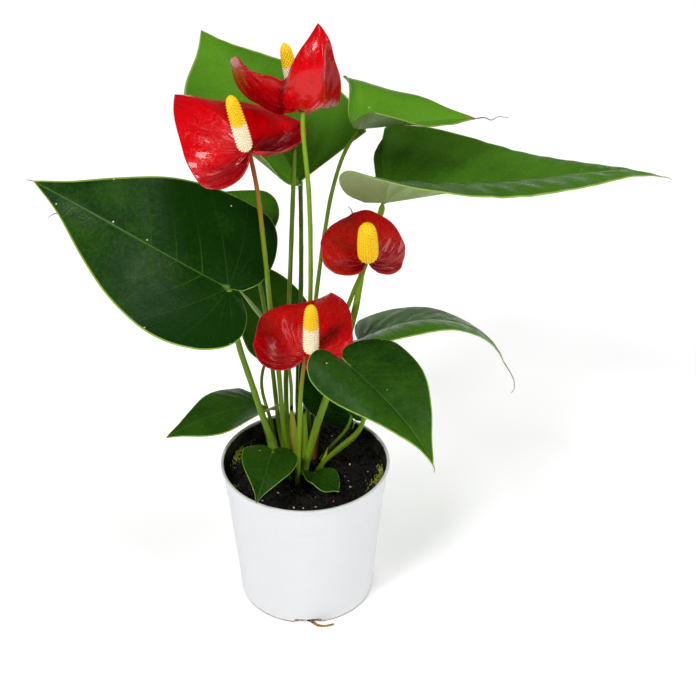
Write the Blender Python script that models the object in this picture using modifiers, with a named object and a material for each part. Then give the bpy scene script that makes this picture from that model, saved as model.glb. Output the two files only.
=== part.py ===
"""Potted anthurium: a heart-leaved plant with red flowers, growing in a plain thin-walled nursery pot.

Units are metres and degrees. The origin is the middle of the pot's base, on the ground, with +Z up and
-Y towards the front. Every blade, stalk, flower part and the pot is one closed solid.
"""

import math
from collections import namedtuple

import bmesh
import bpy
from mathutils import Matrix, Vector

MM = 0.001
GAP = 0.3 * MM  # clearance left between touching pieces

# Pot
POT_HEIGHT = 97.5 * MM
POT_RIM_RADIUS = 52.5 * MM
POT_BASE_RADIUS = 42.2 * MM
POT_WALL = 1.2 * MM
POT_LEDGE_HEIGHT = 77.5 * MM  # the stacking ledge around the wall
POT_LEDGE_STEP = 0.5 * MM
POT_LIP = 0.9 * MM
POT_LIP_HEIGHT = 2.2 * MM
POT_FLOOR_RADIUS = 30 * MM  # the flat middle of the floor, which rests on the ground
POT_CHANNEL_HEIGHT = 5 * MM  # the raised ring of the floor that holds the drain holes
POT_CHANNEL_RADIUS = 36 * MM
POT_STEPS = 48
NOTCH_WIDTH = 17 * MM
NOTCH_HEIGHT = 3.6 * MM
DRAIN_HOLE_RADIUS = 3.4 * MM
DRAIN_COUNT = 4

# Soil
SOIL_TOP = 88.5 * MM
SOIL_EDGE_TOP = 87 * MM
SOIL_STEPS = 32

# Blades and spathes
BLADE_THICKNESS = 0.8 * MM
LEAF_SPOKES = 24
LEAF_RINGS = 4
SMALL_SPOKES = 20
SMALL_RINGS = 3
SPATHE_SPOKES = 28
SPATHE_RINGS = 5

# Half of a blade's outline, from beside the stalk round the lobe to the tip. The stalk is at (0, 0), the
# tip at (1, 0), and the length from stalk to tip is 1.
LEAF_OUTLINE = [
    (-0.13, 0.02), (-0.24, 0.10), (-0.26, 0.22), (-0.17, 0.34), (0.0, 0.405),
    (0.2, 0.395), (0.42, 0.315), (0.64, 0.19), (0.83, 0.075), (1.0, 0.0),
]
SPATHE_OUTLINE = [
    (-0.10, 0.03), (-0.28, 0.12), (-0.38, 0.28), (-0.32, 0.46), (-0.08, 0.58),
    (0.2, 0.57), (0.45, 0.47), (0.68, 0.32), (0.87, 0.15), (1.0, 0.0),
]

# A blade's design. at: where its stalk meets it, in mm. length: stalk to tip, in mm. wide and lobe: how much
# its left and right half, and their lobes behind the stalk, are scaled. turn: yaw, pitch and roll in
# degrees. fold: how far its left and right half rise from the midrib, and how that changes from stalk to
# tip. cup: how much more each half curls up towards its edge. droop: how the midrib bends down, at first and
# then faster, and how its lobes do. twist and sweep: its turn about the midrib, and its sideways curve.
Blade = namedtuple("Blade", "at length wide lobe turn fold cup droop twist sweep")

LEAVES = {
    "left_large": Blade(
        (-42, -13, 229), 132, (1.02, 1.08), (0.53, 0.48), (167, 26, -25), (9, 7, -11), (12, -12),
        (12, 13, 25), -27, -0.13),
    "left_behind": Blade(
        (-37, 42, 225), 114, (1.0, 1.09), (0.58, 0.6), (163, -5, -10), (10, 11, -1), (5, -6),
        (-5, -15, -2), 5, -0.05),
    "back_low": Blade(
        (-15, 54, 151), 81, (1.0, 0.8), (0.6, 0.8), (120, 50, 2), (25, 18, 1), (5, 3),
        (48, 29, -20), -2, -0.03),
    "top_back": Blade(
        (0, 50, 265), 132, (1.33, 0.96), (0.2, 0.01), (125, 36, -15), (50, 40, -56), (20, -2),
        (6, 26, -30), -3, -0.02),
    "top_right": Blade(
        (35, 30, 308), 73, (1.37, 0.99), (0.66, 0.54), (17, -4, 2), (63, 40, -47), (-52, 5),
        (-9, 17, -174), -3, 0.06),
    "right_large": Blade(
        (49, 22, 265), 172, (0.93, 0.99), (0.1, 0.55), (-1, 9, 0), (21, 56, -52), (-2, -35),
        (9, 18, -25), 2, 0.28),
    "right_drooping": Blade(
        (36, 18, 173.4), 99, (1.0, 1.06), (0.15, 0.15), (10, 27, -32), (19, 15, -20), (-6, -35),
        (37, 61, 0), 5, 0.06),
    "front_right": Blade(
        (25, -50.5, 200.9), 78, (1.25, 0.99), (0.69, 0.68), (-48, -15, -20), (12, 21, 0), (4, -72),
        (1, 23, -2), 17, -0.01),
    "low_left": Blade(
        (-29, 31, 119), 65, (1.23, 1.19), (0.12, 0.13), (204, 9, 8), (2, 7, -18), (32, -14),
        (22, 1, 14), -19, 0.07),
    "front_small": Blade(
        (-20, -19, 118), 41, (0.98, 1.05), (0.88, 0.81), (-98, 7, -9), (-5, -10, -7), (1, 1),
        (39, 4, 26), -1, -0.04),
    "seedling": Blade(
        (6, -9, 94), 31, (1.03, 0.9), (0.3, 0.4), (-62, -2, -3), (-6, 12, -16), (8, 30),
        (-13, -21, 3), 7, -0.01),
    "centre_low": Blade(
        (29, 5, 125.5), 67, (1.13, 0.7), (0.62, 0.4), (173, 59, -69), (-51, 5, 18), (0, 0),
        (-8, -4, 13), 7, -0.05),
}
LARGE_LEAVES = ("left_large", "left_behind", "top_back", "right_large", "right_drooping", "front_right")

SPATHES = {
    "left": Blade(
        (-28, -2, 311), 64, (0.88, 1.1), (0.45, 0.45), (133, 37, -10), (-15, 0, -14), (-12, -9),
        (35, 17, -20), 14, 0.09),
    "top": Blade(
        (2, 6, 330), 70, (0.4, 1.19), (0.91, 0.95), (-69, 15, 8), (5, 36, -1), (-15, 22),
        (-90, -51, 78), 5, 0.16),
    "right": Blade(
        (38, -14, 247), 36, (1.52, 1.17), (0.6, 0.63), (94, 57, 24), (12, 12, -1), (-3, -16),
        (50, 19, 12), -23, -0.03),
    "front": Blade(
        (1, -19.5, 186.8), 51, (1.17, 1.01), (0.64, 0.67), (66, 47, 1), (-4, 15, -26), (47, 8),
        (43, 14, 7), -17, 0.05),
}

# Spadices: the foot and the tip in mm, and the widest diameter in mm.
Spadix = namedtuple("Spadix", "foot tip diameter")
SPADICES = {
    "left": Spadix((-29.5, -2.8, 311.7), (-36.2, -18, 349.5), 8.2),
    "top": Spadix((-0.5, 9, 331.8), (-7.5, 18, 364.2), 7.6),
    "right": Spadix((37.3, -16, 249.9), (35.7, -34, 282.4), 10.5),
    "front": Spadix((4.4, -20.5, 190.9), (4.7, -33.5, 229.3), 8.6),
}
SPADIX_SIDES = 12

# Stalks: radius at the foot and at the top in mm, the way from the soil upwards in mm, and how far under its
# blade or spathe the stalk ends, in mm.
Stalk = namedtuple("Stalk", "foot_radius top_radius way top_gap", defaults=(1.5,))
SOIL_FOOT = 88.8
PETIOLES = {
    "left_large": Stalk(2.3, 1.7, [
        (-13, -5, SOIL_FOOT), (-18, -6, 110), (-26, -7, 138), (-31, -9, 161), (-37, -11, 186), (-41, -13, 213)],
        2.2),
    "left_behind": Stalk(1.6, 1.3, [
        (-13, 20, SOIL_FOOT), (-16, 22, 104), (-19, 27, 145), (-23, 34, 185), (-27, 40, 207)], 1.8),
    "back_low": Stalk(1.3, 1.0, [
        (-18, 16, SOIL_FOOT), (-19, 24, 99), (-23, 32, 113), (-27, 38, 123), (-27, 42, 131), (-25, 48, 139)],
        2.2),
    "top_back": Stalk(1.9, 1.3, [
        (-5, 22, SOIL_FOOT), (-4, 25, 102), (-4, 28, 131), (-1, 37, 191), (0, 46, 238)], 1.6),
    "top_right": Stalk(1.7, 1.1, [
        (2, 24, SOIL_FOOT), (3, 26, 97), (2, 31, 122), (5, 35, 158), (9, 34, 201), (17, 32, 261), (26, 31, 294)]),
    "right_large": Stalk(2.6, 1.8, [
        (-1, -2, SOIL_FOOT), (5, 0, 114), (13, 0, 142), (24, 5, 175), (31, 11, 197), (37, 19, 230), (46, 22, 256)]),
    "right_drooping": Stalk(1.4, 1.1, [
        (11, 7, SOIL_FOOT), (15, 5, 95), (25, 1, 107), (33, -2, 118), (37, -2, 129), (39, 4, 146), (38, 14, 161)]),
    "front_right": Stalk(1.7, 1.2, [
        (6, -3, SOIL_FOOT), (13, -3, 100), (24, -4, 112), (32, -6, 121), (36, -11, 134), (34, -22, 156),
        (29, -42, 185)], 2.0),
    "low_left": Stalk(1.2, 0.9, [(-20, 8, SOIL_FOOT), (-23, 18, 100), (-27, 27, 109)]),
    "front_small": Stalk(1.2, 0.9, [(-9, -10, SOIL_FOOT), (-15, -13, 106)], 2.4),
    "seedling": Stalk(1.0, 0.8, [(3, -6, SOIL_FOOT)]),
    "centre_low": Stalk(1.3, 0.9, [(9.5, 11, SOIL_FOOT), (18, 7, 105), (26, 5, 115)], 2.6),
}
PEDUNCLES = {
    "left": Stalk(1.7, 1.3, [
        (-10, 4, SOIL_FOOT), (-12.6, 5, 104), (-15, 8, 157), (-19, 6.5, 204), (-20, -3.5, 232), (-22, -5, 262),
        (-24, -4, 288)], 2.8),
    "top": Stalk(1.8, 1.3, [
        (-1, 14, SOIL_FOOT), (-1, 20, 103), (1, 26, 126), (3, 26, 164), (5, 20, 209), (5, 10, 273), (2, 6, 315)]),
    "right": Stalk(1.7, 1.3, [
        (4, 13, SOIL_FOOT), (5, 21, 98), (10, 27, 126), (18, 23, 163), (26, 9, 200), (31, -5, 225)],
        1.8),
    "front": Stalk(1.6, 1.3, [(-5, -14, SOIL_FOOT), (-3, -16, 134), (-2, -18, 160)], 2.5),
}
BUD_STALK = Stalk(1.7, 1.3, [
    (-10, 17, SOIL_FOOT), (-11, 20, 106), (-11, 22, 148), (-8, 22, 199), (-5, 20, 258), (-3.5, 19, 288), (-3, 19, 301)])
BUD = Stalk(2.0, 0.5, [(-3, 19, 301.8), (-3, 20, 304.4), (-2.8, 21.5, 307), (-2.5, 23, 310)])
YOUNG_STALK = Stalk(1.3, 1.0, [
    (-6, 11, SOIL_FOOT), (-8, 13, 111), (-8, 16, 131), (-8, 18, 151), (-13, 20, 169), (-20, 22, 183)])
YOUNG_LEAF = Stalk(1.7, 0.4, [(-20.4, 22.1, 183.3), (-25, 23, 188), (-32, 25, 198), (-40, 26, 208)])
DRAIN_ROOT = Stalk(1.1, 0.6, [
    (0, -36, 5.6), (0.5, -38, 2.4), (2, -41.5, 1.5), (6, -45.5, 1.4), (11, -46.5, 1.6), (16, -44.6, 1.3)])
SHOOT = Stalk(1.6, 0.3, [(9, -1, SOIL_FOOT), (10, 0, 93), (12, 1, 97), (14, 2, 105)])
STALK_STEP = 16 * MM  # spacing of the points along a stalk
STALK_BEVEL = 2
LEVEL_FOOT_RISE = 1.5 * MM  # a stalk leaves the soil straight up, so that its foot is level

# Sheaths: an open, tapering wrap around a stalk's foot. Foot and tip in mm, radius at the foot in mm, and the
# angle that its opening faces.
Sheath = namedtuple("Sheath", "foot tip radius opening")
SHEATHS = {
    "cataphyll_yellow": Sheath((-6, 11, SOIL_FOOT), (-8, 14, 130), 2.4, 90),
    "cataphyll_green": Sheath((-1, 14, SOIL_FOOT), (0, 22, 122), 2.7, 90),
    "cataphyll_dry": Sheath((4, 13, SOIL_FOOT), (7.5, 20, 116), 2.9, 150),
}
SHEATH_THICKNESS = 0.5 * MM

COLOURS = {
    "pot": (0.86, 0.87, 0.88, 1),
    "soil": (0.02, 0.015, 0.012, 1),
    "leaf": (0.03, 0.12, 0.02, 1),
    "stalk": (0.16, 0.32, 0.03, 1),
    "spathe": (0.62, 0.01, 0.015, 1),
    "spadix": (0.9, 0.62, 0.05, 1),
    "sheath": (0.42, 0.45, 0.08, 1),
    "dry": (0.25, 0.08, 0.03, 1),
}
GLOSS = {"leaf": 0.35, "spathe": 0.25, "pot": 0.4}


def clear_scene():
    for obj in list(bpy.data.objects):
        bpy.data.objects.remove(obj, do_unlink=True)


def material(name):
    found = bpy.data.materials.get(name)
    if found:
        return found
    made = bpy.data.materials.new(name)
    made.use_nodes = True
    shader = made.node_tree.nodes["Principled BSDF"]
    shader.inputs["Base Color"].default_value = COLOURS[name]
    shader.inputs["Roughness"].default_value = GLOSS.get(name, 0.6)
    shader.inputs["Metallic"].default_value = 0.0
    return made


def add_object(name, data, finish, collection):
    obj = bpy.data.objects.new(name, data)
    collection.objects.link(obj)
    data.materials.append(material(finish))
    return obj


def smooth_curve(points, steps):
    """Points along a smooth curve through the given ones, evenly spaced in the curve's own parameter."""
    points = [Vector(p) for p in points]
    run = [2 * points[0] - points[1]] + points + [2 * points[-1] - points[-2]]
    spans = len(points) - 1
    found = []
    for step in range(steps + 1):
        place = step / steps * spans
        i = min(int(place), spans - 1)
        t = place - i
        a, b, c, d = run[i:i + 4]
        found.append(0.5 * (2 * b + (c - a) * t + (2 * a - 5 * b + 4 * c - d) * t**2
                            + (3 * b - a - 3 * c + d) * t**3))
    return found


def arc_of_midrib(blade, along):
    """Where the bent midrib is at a distance from the stalk, in blade lengths, and its slope there."""
    first, faster, lobes = (math.radians(angle) for angle in blade.droop)
    steps = 24
    place = Vector((0, 0))
    slope = 0.0
    for step in range(steps):
        middle = along * (step + 0.5) / steps
        slope = first * middle + faster * middle**2 if along > 0 else lobes * middle
        place += Vector((math.cos(slope), -math.sin(slope))) * along / steps
    slope = first * along + faster * along**2 if along > 0 else lobes * along
    return place, slope


def blade_point(blade, along, across, side):
    """A point of the flat outline, in blade lengths, moved to its place on the folded and bent blade."""
    half = 0 if side > 0 else 1
    if along < 0:
        along *= blade.lobe[half]
    fold = math.radians(blade.fold[half] + blade.fold[2] * along)
    curl = math.radians(blade.cup[half]) / 0.4 or 1e-6
    reach = across * blade.wide[half]
    out = (math.sin(fold + curl * reach) - math.sin(fold)) / curl
    rise = (math.cos(fold) - math.cos(fold + curl * reach)) / curl
    midrib, slope = arc_of_midrib(blade, along)
    twist = math.radians(blade.twist) * along
    sideways = side * out * math.cos(twist) - rise * math.sin(twist) + blade.sweep * along * abs(along)
    height = side * out * math.sin(twist) + rise * math.cos(twist)
    return Vector((midrib.x + height * math.sin(slope), sideways, midrib.y + height * math.cos(slope)))


def blade_turn(blade):
    yaw, pitch, roll = (math.radians(angle) for angle in blade.turn)
    return Matrix.Rotation(yaw, 3, "Z") @ Matrix.Rotation(-pitch, 3, "Y") @ Matrix.Rotation(roll, 3, "X")


def make_blade(name, blade, outline, spokes, rings, finish, collection):
    """A heart-shaped sheet: spokes fan out from the stalk to the edge, from one side of the notch to the other."""
    half = spokes // 2
    edge = smooth_curve([(x, y, 0) for x, y in outline], half)
    turn = blade_turn(blade)
    bm = bmesh.new()
    bmesh.ops.create_grid(bm, x_segments=spokes, y_segments=rings, size=1)
    for vert in bm.verts:
        spoke = round((vert.co.x + 1) / 2 * spokes)
        out = round((vert.co.y + 1) / 2 * rings) / rings
        side = 1 if spoke <= half else -1
        on_edge = edge[spoke if side > 0 else spokes - spoke]
        shaped = blade_point(blade, on_edge.x * out, on_edge.y * out, side)
        vert.co = turn @ shaped * blade.length * MM + Vector(blade.at) * MM
    bmesh.ops.remove_doubles(bm, verts=bm.verts, dist=1e-5)
    upper = sum((face.normal * face.calc_area() for face in bm.faces), Vector())
    if upper.dot(turn @ Vector((0, 0, 1))) < 0:
        bmesh.ops.reverse_faces(bm, faces=bm.faces)
    mesh = bpy.data.meshes.new(name)
    bm.to_mesh(mesh)
    bm.free()
    mesh.shade_smooth()
    obj = add_object(name, mesh, finish, collection)
    shell = obj.modifiers.new("Thickness", "SOLIDIFY")
    shell.thickness = BLADE_THICKNESS
    shell.offset = -1
    return obj


def make_stalk(name, stalk, finish, collection, top=None, level_foot=True):
    """A tapering round stalk along a smooth way. With a top, it ends a short way under that point."""
    way = [Vector(p) * MM for p in stalk.way]
    if top is not None:
        end = Vector(top) * MM
        way.append(end - (end - way[-1]).normalized() * stalk.top_gap * MM)
    length = sum((b - a).length for a, b in zip(way, way[1:]))
    points = smooth_curve(way, max(len(way), round(length / STALK_STEP)))
    if level_foot:
        points.insert(1, points[0] + Vector((0, 0, LEVEL_FOOT_RISE)))
    curve = bpy.data.curves.new(name, "CURVE")
    curve.dimensions = "3D"
    curve.bevel_depth = stalk.foot_radius * MM
    curve.bevel_resolution = STALK_BEVEL
    curve.use_fill_caps = True
    spline = curve.splines.new("POLY")
    spline.points.add(len(points) - 1)
    for i, point in enumerate(points):
        t = i / (len(points) - 1)
        spline.points[i].co = (*point, 1)
        spline.points[i].radius = 1 + (stalk.top_radius / stalk.foot_radius - 1) * t
    return add_object(name, curve, finish, collection)


def spadix_profile(length, radius):
    """The side of the spadix from tip to foot: a round tip, a long gentle taper and a narrow foot."""
    rows = [(0, 1.0), (0.45, 0.975), (0.72, 0.93), (0.88, 0.8), (0.97, 0.55), (1.0, 0.25), (0.93, 0.08),
            (0.6, 0.015), (0, 0)]
    return [(wide * radius, high * length) for wide, high in rows]


def make_spadix(name, spadix, collection):
    foot, tip = Vector(spadix.foot) * MM, Vector(spadix.tip) * MM
    axis = tip - foot
    mesh = bpy.data.meshes.new(name)
    profile = spadix_profile(axis.length, spadix.diameter / 2 * MM)
    mesh.from_pydata([(r, 0, z) for r, z in profile], [(i, i + 1) for i in range(len(profile) - 1)], [])
    obj = add_object(name, mesh, "spadix", collection)
    obj.location = foot
    obj.rotation_euler = axis.to_track_quat("Z", "Y").to_euler()
    turn_profile(obj, SPADIX_SIDES)
    return obj


def turn_profile(obj, steps):
    screw = obj.modifiers.new("Turn", "SCREW")
    screw.steps = steps
    screw.render_steps = steps
    screw.use_merge_vertices = True
    screw.merge_threshold = 1e-5
    screw.use_normal_calculate = True


def make_turned(name, profile, steps, finish, collection, closed):
    """A turned shape: a closed profile makes a ring, an open one starts and ends on the axis."""
    mesh = bpy.data.meshes.new(name)
    edges = [(i, i + 1) for i in range(len(profile) - 1)]
    if closed:
        edges.append((len(profile) - 1, 0))
    mesh.from_pydata([(r, 0, z) for r, z in profile], edges, [])
    obj = add_object(name, mesh, finish, collection)
    turn_profile(obj, steps)
    return obj


def wall_radius(height):
    """The outer radius of the pot's tapering wall at a height, under the ledge."""
    share = height / POT_HEIGHT
    return POT_BASE_RADIUS + (POT_RIM_RADIUS - POT_LIP - POT_LEDGE_STEP - POT_BASE_RADIUS) * share


def make_pot(collection, cutters):
    channel = POT_CHANNEL_HEIGHT
    ledge = POT_LEDGE_HEIGHT
    lip_foot = POT_HEIGHT - POT_LIP_HEIGHT
    outer = [
        (POT_RIM_RADIUS - 0.4 * MM, POT_HEIGHT),
        (POT_RIM_RADIUS, POT_HEIGHT - 0.5 * MM),
        (POT_RIM_RADIUS, lip_foot),
        (wall_radius(lip_foot) + POT_LEDGE_STEP, lip_foot - 0.4 * MM),
        (wall_radius(ledge) + POT_LEDGE_STEP, ledge + 0.5 * MM),
        (wall_radius(ledge), ledge - 0.5 * MM),
        (POT_BASE_RADIUS + 0.1 * MM, 0.8 * MM),
        (POT_BASE_RADIUS - 0.5 * MM, 0),
        (POT_BASE_RADIUS - POT_WALL - 0.3 * MM, 0),
        (POT_BASE_RADIUS - POT_WALL - 0.5 * MM, channel),
        (POT_FLOOR_RADIUS + 3 * MM, channel),
        (POT_FLOOR_RADIUS, 0),
        (0, 0),
    ]
    inner = [
        (0, POT_WALL),
        (POT_FLOOR_RADIUS - 0.8 * MM, POT_WALL),
        (POT_FLOOR_RADIUS + 2.2 * MM, channel + POT_WALL),
        (wall_radius(channel + POT_WALL) - POT_WALL, channel + POT_WALL),
        (wall_radius(ledge) - POT_WALL, ledge - 0.5 * MM),
        (wall_radius(ledge) + POT_LEDGE_STEP - POT_WALL, ledge + 0.5 * MM),
        (wall_radius(POT_HEIGHT) + POT_LEDGE_STEP - POT_WALL, POT_HEIGHT),
    ]
    pot = make_turned("pot", outer + inner, POT_STEPS, "pot", collection, True)
    for i in range(DRAIN_COUNT):
        turn = Matrix.Rotation(math.radians(360 / DRAIN_COUNT * i - 90), 4, "Z")
        add_cutter(pot, f"notch_{i}", notch_mesh, turn, cutters)
        add_cutter(pot, f"drain_{i}", drain_mesh, turn, cutters)
    return pot


def notch_mesh(bm):
    """A slot through the skirt, from outside the wall to the channel."""
    length = 9 * MM
    size = Matrix.Diagonal((length, NOTCH_WIDTH, 2 * NOTCH_HEIGHT, 1))
    place = Matrix.Translation((POT_BASE_RADIUS, 0, 0))
    bmesh.ops.create_cube(bm, size=1, matrix=place @ size)


def drain_mesh(bm):
    place = Matrix.Translation((POT_CHANNEL_RADIUS, 0, POT_CHANNEL_HEIGHT))
    bmesh.ops.create_cone(bm, cap_ends=True, segments=16, radius1=DRAIN_HOLE_RADIUS,
                          radius2=DRAIN_HOLE_RADIUS, depth=6 * MM, matrix=place)


def add_cutter(target, name, shape, turn, cutters):
    bm = bmesh.new()
    shape(bm)
    mesh = bpy.data.meshes.new(name)
    bm.to_mesh(mesh)
    bm.free()
    cutter = bpy.data.objects.new(name, mesh)
    cutter.matrix_world = turn
    cutter.hide_render = True
    cutter.display_type = "WIRE"
    cutters.objects.link(cutter)
    cut = target.modifiers.new(name, "BOOLEAN")
    cut.operation = "DIFFERENCE"
    cut.object = cutter


def make_soil(collection):
    """The root ball: it fills the pot to a finger's breadth under the rim, level where the stalks stand."""
    floor = POT_CHANNEL_HEIGHT + POT_WALL + GAP
    ledge = POT_LEDGE_HEIGHT
    profile = [
        (0, SOIL_TOP),
        (30 * MM, SOIL_TOP),
        (38 * MM, SOIL_TOP + 1.2 * MM),
        (44 * MM, SOIL_TOP - 1 * MM),
        (wall_radius(SOIL_EDGE_TOP) + POT_LEDGE_STEP - POT_WALL - GAP, SOIL_EDGE_TOP),
        (wall_radius(ledge) + POT_LEDGE_STEP - POT_WALL - GAP, ledge + 0.9 * MM),
        (wall_radius(ledge) - POT_WALL - GAP, ledge - 0.5 * MM),
        (wall_radius(floor) - POT_WALL - GAP, floor),
        (POT_FLOOR_RADIUS + 2 * MM, floor),
        (POT_FLOOR_RADIUS - 1.2 * MM, POT_WALL + GAP),
        (0, POT_WALL + GAP),
    ]
    return make_turned("soil", profile, SOIL_STEPS, "soil", collection, False)


def make_sheath(name, sheath, finish, collection):
    """A thin wrap, open along one side, that narrows from the soil to a point beside the stalk."""
    foot, tip = Vector(sheath.foot) * MM, Vector(sheath.tip) * MM
    around, up = 8, 4
    bm = bmesh.new()
    bmesh.ops.create_grid(bm, x_segments=around, y_segments=up, size=1)
    for vert in bm.verts:
        share = (vert.co.y + 1) / 2
        radius = sheath.radius * MM * (1 - 0.25 * share)
        wrap = math.radians(80) * (1 - 0.82 * share**1.5)
        angle = math.radians(sheath.opening + 180) + vert.co.x * wrap
        vert.co = foot.lerp(tip, share) + Vector((math.cos(angle), math.sin(angle), 0)) * radius
    mesh = bpy.data.meshes.new(name)
    bm.to_mesh(mesh)
    bm.free()
    obj = add_object(name, mesh, finish, collection)
    shell = obj.modifiers.new("Thickness", "SOLIDIFY")
    shell.thickness = SHEATH_THICKNESS
    shell.offset = 0
    return obj


def main():
    clear_scene()
    plant = bpy.data.collections.new("potted_anthurium")
    cutters = bpy.data.collections.new("cutters")
    for collection in (plant, cutters):
        bpy.context.scene.collection.children.link(collection)
    make_pot(plant, cutters)
    make_soil(plant)
    for name, blade in LEAVES.items():
        large = name in LARGE_LEAVES
        spokes, rings = (LEAF_SPOKES, LEAF_RINGS) if large else (SMALL_SPOKES, SMALL_RINGS)
        make_blade(f"leaf_{name}", blade, LEAF_OUTLINE, spokes, rings, "leaf", plant)
        make_stalk(f"petiole_{name}", PETIOLES[name], "stalk", plant, top=blade.at)
    for name, blade in SPATHES.items():
        make_blade(f"spathe_{name}", blade, SPATHE_OUTLINE, SPATHE_SPOKES, SPATHE_RINGS, "spathe", plant)
        make_spadix(f"spadix_{name}", SPADICES[name], plant)
        make_stalk(f"peduncle_{name}", PEDUNCLES[name], "stalk", plant, top=blade.at)
    make_stalk("bud_stalk", BUD_STALK, "stalk", plant)
    make_stalk("closed_bud", BUD, "spathe", plant, level_foot=False)
    make_stalk("young_leaf_stalk", YOUNG_STALK, "stalk", plant)
    make_stalk("young_leaf", YOUNG_LEAF, "sheath", plant, level_foot=False)
    make_stalk("shoot", SHOOT, "sheath", plant)
    make_stalk("drain_root", DRAIN_ROOT, "dry", plant, level_foot=False)
    for name, sheath in SHEATHS.items():
        make_sheath(name, sheath, "dry" if name.endswith("dry") else "sheath", plant)


main()
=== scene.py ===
"""Potted anthurium in a plain white nursery pot: the finished look, built on the frame of its solids.

Units are metres. The origin is the middle of the pot's base, +Z is up and -Y is the front. A blade is drawn
flat as a heart, then folded along its midrib, cupped and bent. Stalks follow the middle of their solids.
"""

import math
import random
from collections import namedtuple

import bmesh
import bpy
from mathutils import Matrix, Vector, noise


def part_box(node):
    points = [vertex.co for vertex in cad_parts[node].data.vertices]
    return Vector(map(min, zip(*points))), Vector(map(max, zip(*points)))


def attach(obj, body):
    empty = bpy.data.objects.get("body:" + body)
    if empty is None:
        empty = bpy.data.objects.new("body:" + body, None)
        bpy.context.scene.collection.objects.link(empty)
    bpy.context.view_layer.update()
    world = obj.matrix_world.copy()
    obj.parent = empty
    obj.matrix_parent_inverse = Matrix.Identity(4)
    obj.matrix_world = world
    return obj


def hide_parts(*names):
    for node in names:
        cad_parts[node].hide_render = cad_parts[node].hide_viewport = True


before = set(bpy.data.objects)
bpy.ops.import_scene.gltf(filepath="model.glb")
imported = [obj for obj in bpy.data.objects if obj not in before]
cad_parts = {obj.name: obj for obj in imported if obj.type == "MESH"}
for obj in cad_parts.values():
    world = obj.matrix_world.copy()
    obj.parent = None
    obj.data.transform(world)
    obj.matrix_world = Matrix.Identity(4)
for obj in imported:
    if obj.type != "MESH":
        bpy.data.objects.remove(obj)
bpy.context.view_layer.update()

bl_info = {
    "name": "Potted Anthurium",
    "version": (1, 0, 0),
    "blender": (4, 5, 0),
    "location": "3D View > Sidebar > Anthurium",
    "description": "Builds a flowering anthurium in its nursery pot, with its materials and a plain stage",
    "category": "Add Mesh",
}

MM = 0.001
ROOT = "root"


def linear(code):
    """A colour given as #RRGGBB, as the shaders need it."""
    channels = [int(code[i:i + 2], 16) / 255 for i in (1, 3, 5)]
    return tuple(c / 12.92 if c <= 0.04045 else ((c + 0.055) / 1.055) ** 2.4 for c in channels)


def length_setting(name, description, default):
    return bpy.props.FloatProperty(
        name=name, description=description, default=default, min=0.0, precision=5, unit="LENGTH")


def colour_setting(name, description, code):
    return bpy.props.FloatVectorProperty(
        name=name, description=description, default=linear(code), size=3, min=0.0, max=1.0, subtype="COLOR")


class AnthuriumSizes(bpy.types.PropertyGroup):
    """Sizes a user may want to change."""

    blade_thickness: length_setting("Blade thickness", "Thickness of a leaf or a spathe", 0.6 * MM)
    leaf_quilt: length_setting("Leaf quilting", "How far a leaf rises between its side veins", 0.18 * MM)
    spathe_pucker: length_setting("Spathe puckers", "How far a spathe rises between its veins", 0.4 * MM)
    edge_wave: length_setting("Edge wave", "How far a blade's edge waves up and down", 1.0 * MM)
    spadix_bump: length_setting("Spadix bumps", "Height of the tiny florets on a spadix", 1.0 * MM)
    pot_wall: length_setting("Pot wall", "Thickness of the moulded pot wall", 0.9 * MM)
    peat_lumps: length_setting("Peat lumps", "Height of the lumps on the soil", 2.2 * MM)
    perlite_grain: length_setting("Perlite grain", "Radius of a middling perlite grain", 0.55 * MM)
    camera_distance: length_setting("Camera distance", "From the pot to the camera, over the ground", 0.8)
    camera_height: length_setting("Camera height", "Height of the camera over the ground", 0.692)


class AnthuriumColours(bpy.types.PropertyGroup):
    """Colours a user may want to change."""

    leaf_dark: colour_setting("Old leaf", "Upper side of an old, shaded leaf", "#0F3306")
    leaf_bright: colour_setting("Young leaf", "Upper side of a young leaf", "#5C9420")
    leaf_back: colour_setting("Leaf back", "Pale underside of a leaf", "#93A868")
    leaf_vein: colour_setting("Leaf vein", "Main veins on the upper side", "#6C9A3A")
    leaf_margin: colour_setting("Leaf margin", "Thin pale edge of a leaf", "#9CBA4E")
    stalk_green: colour_setting("Stalk", "Fresh green stalk", "#84AA20")
    stalk_red: colour_setting("Stalk blush", "Reddish top of a flower stalk", "#96300C")
    spathe_red: colour_setting("Spathe", "Waxy red upper side of a spathe", "#D40009")
    # Spathe shade is painted shade between the puckers and in the lobes' hollows, and the darker patches of
    # the back.
    spathe_deep_and_shade: colour_setting("Spathe shade", "Deeper red between the puckers", "#860007")
    spathe_back: colour_setting("Spathe back", "Duller red underside", "#B8323A")
    spadix_yellow: colour_setting("Spadix tip", "Ripe yellow of the spadix", "#FFD200")
    spadix_cream: colour_setting("Spadix foot", "Cream of the opened florets", "#FFF2CE")
    pot_white: colour_setting("Pot", "White polypropylene", "#DFE0E3")
    peat: colour_setting("Peat", "Moist peat", "#0A0706")
    perlite: colour_setting("Perlite", "Perlite grains", "#E9E4DC")
    moss: colour_setting("Moss", "Cushions of moss", "#6C8420")
    sheath: colour_setting("Sheath", "Fresh papery sheath", "#C4C042")
    dry: colour_setting("Dry tissue", "Dry brown sheaths, tips and roots", "#6B3A1E")
    dry_tip: colour_setting("Dry leaf tip", "Tan drip tip of a leaf", "#8F7A48")
    root: colour_setting("Root", "Skin of the root in the drain notch", "#A08A3A")


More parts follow.
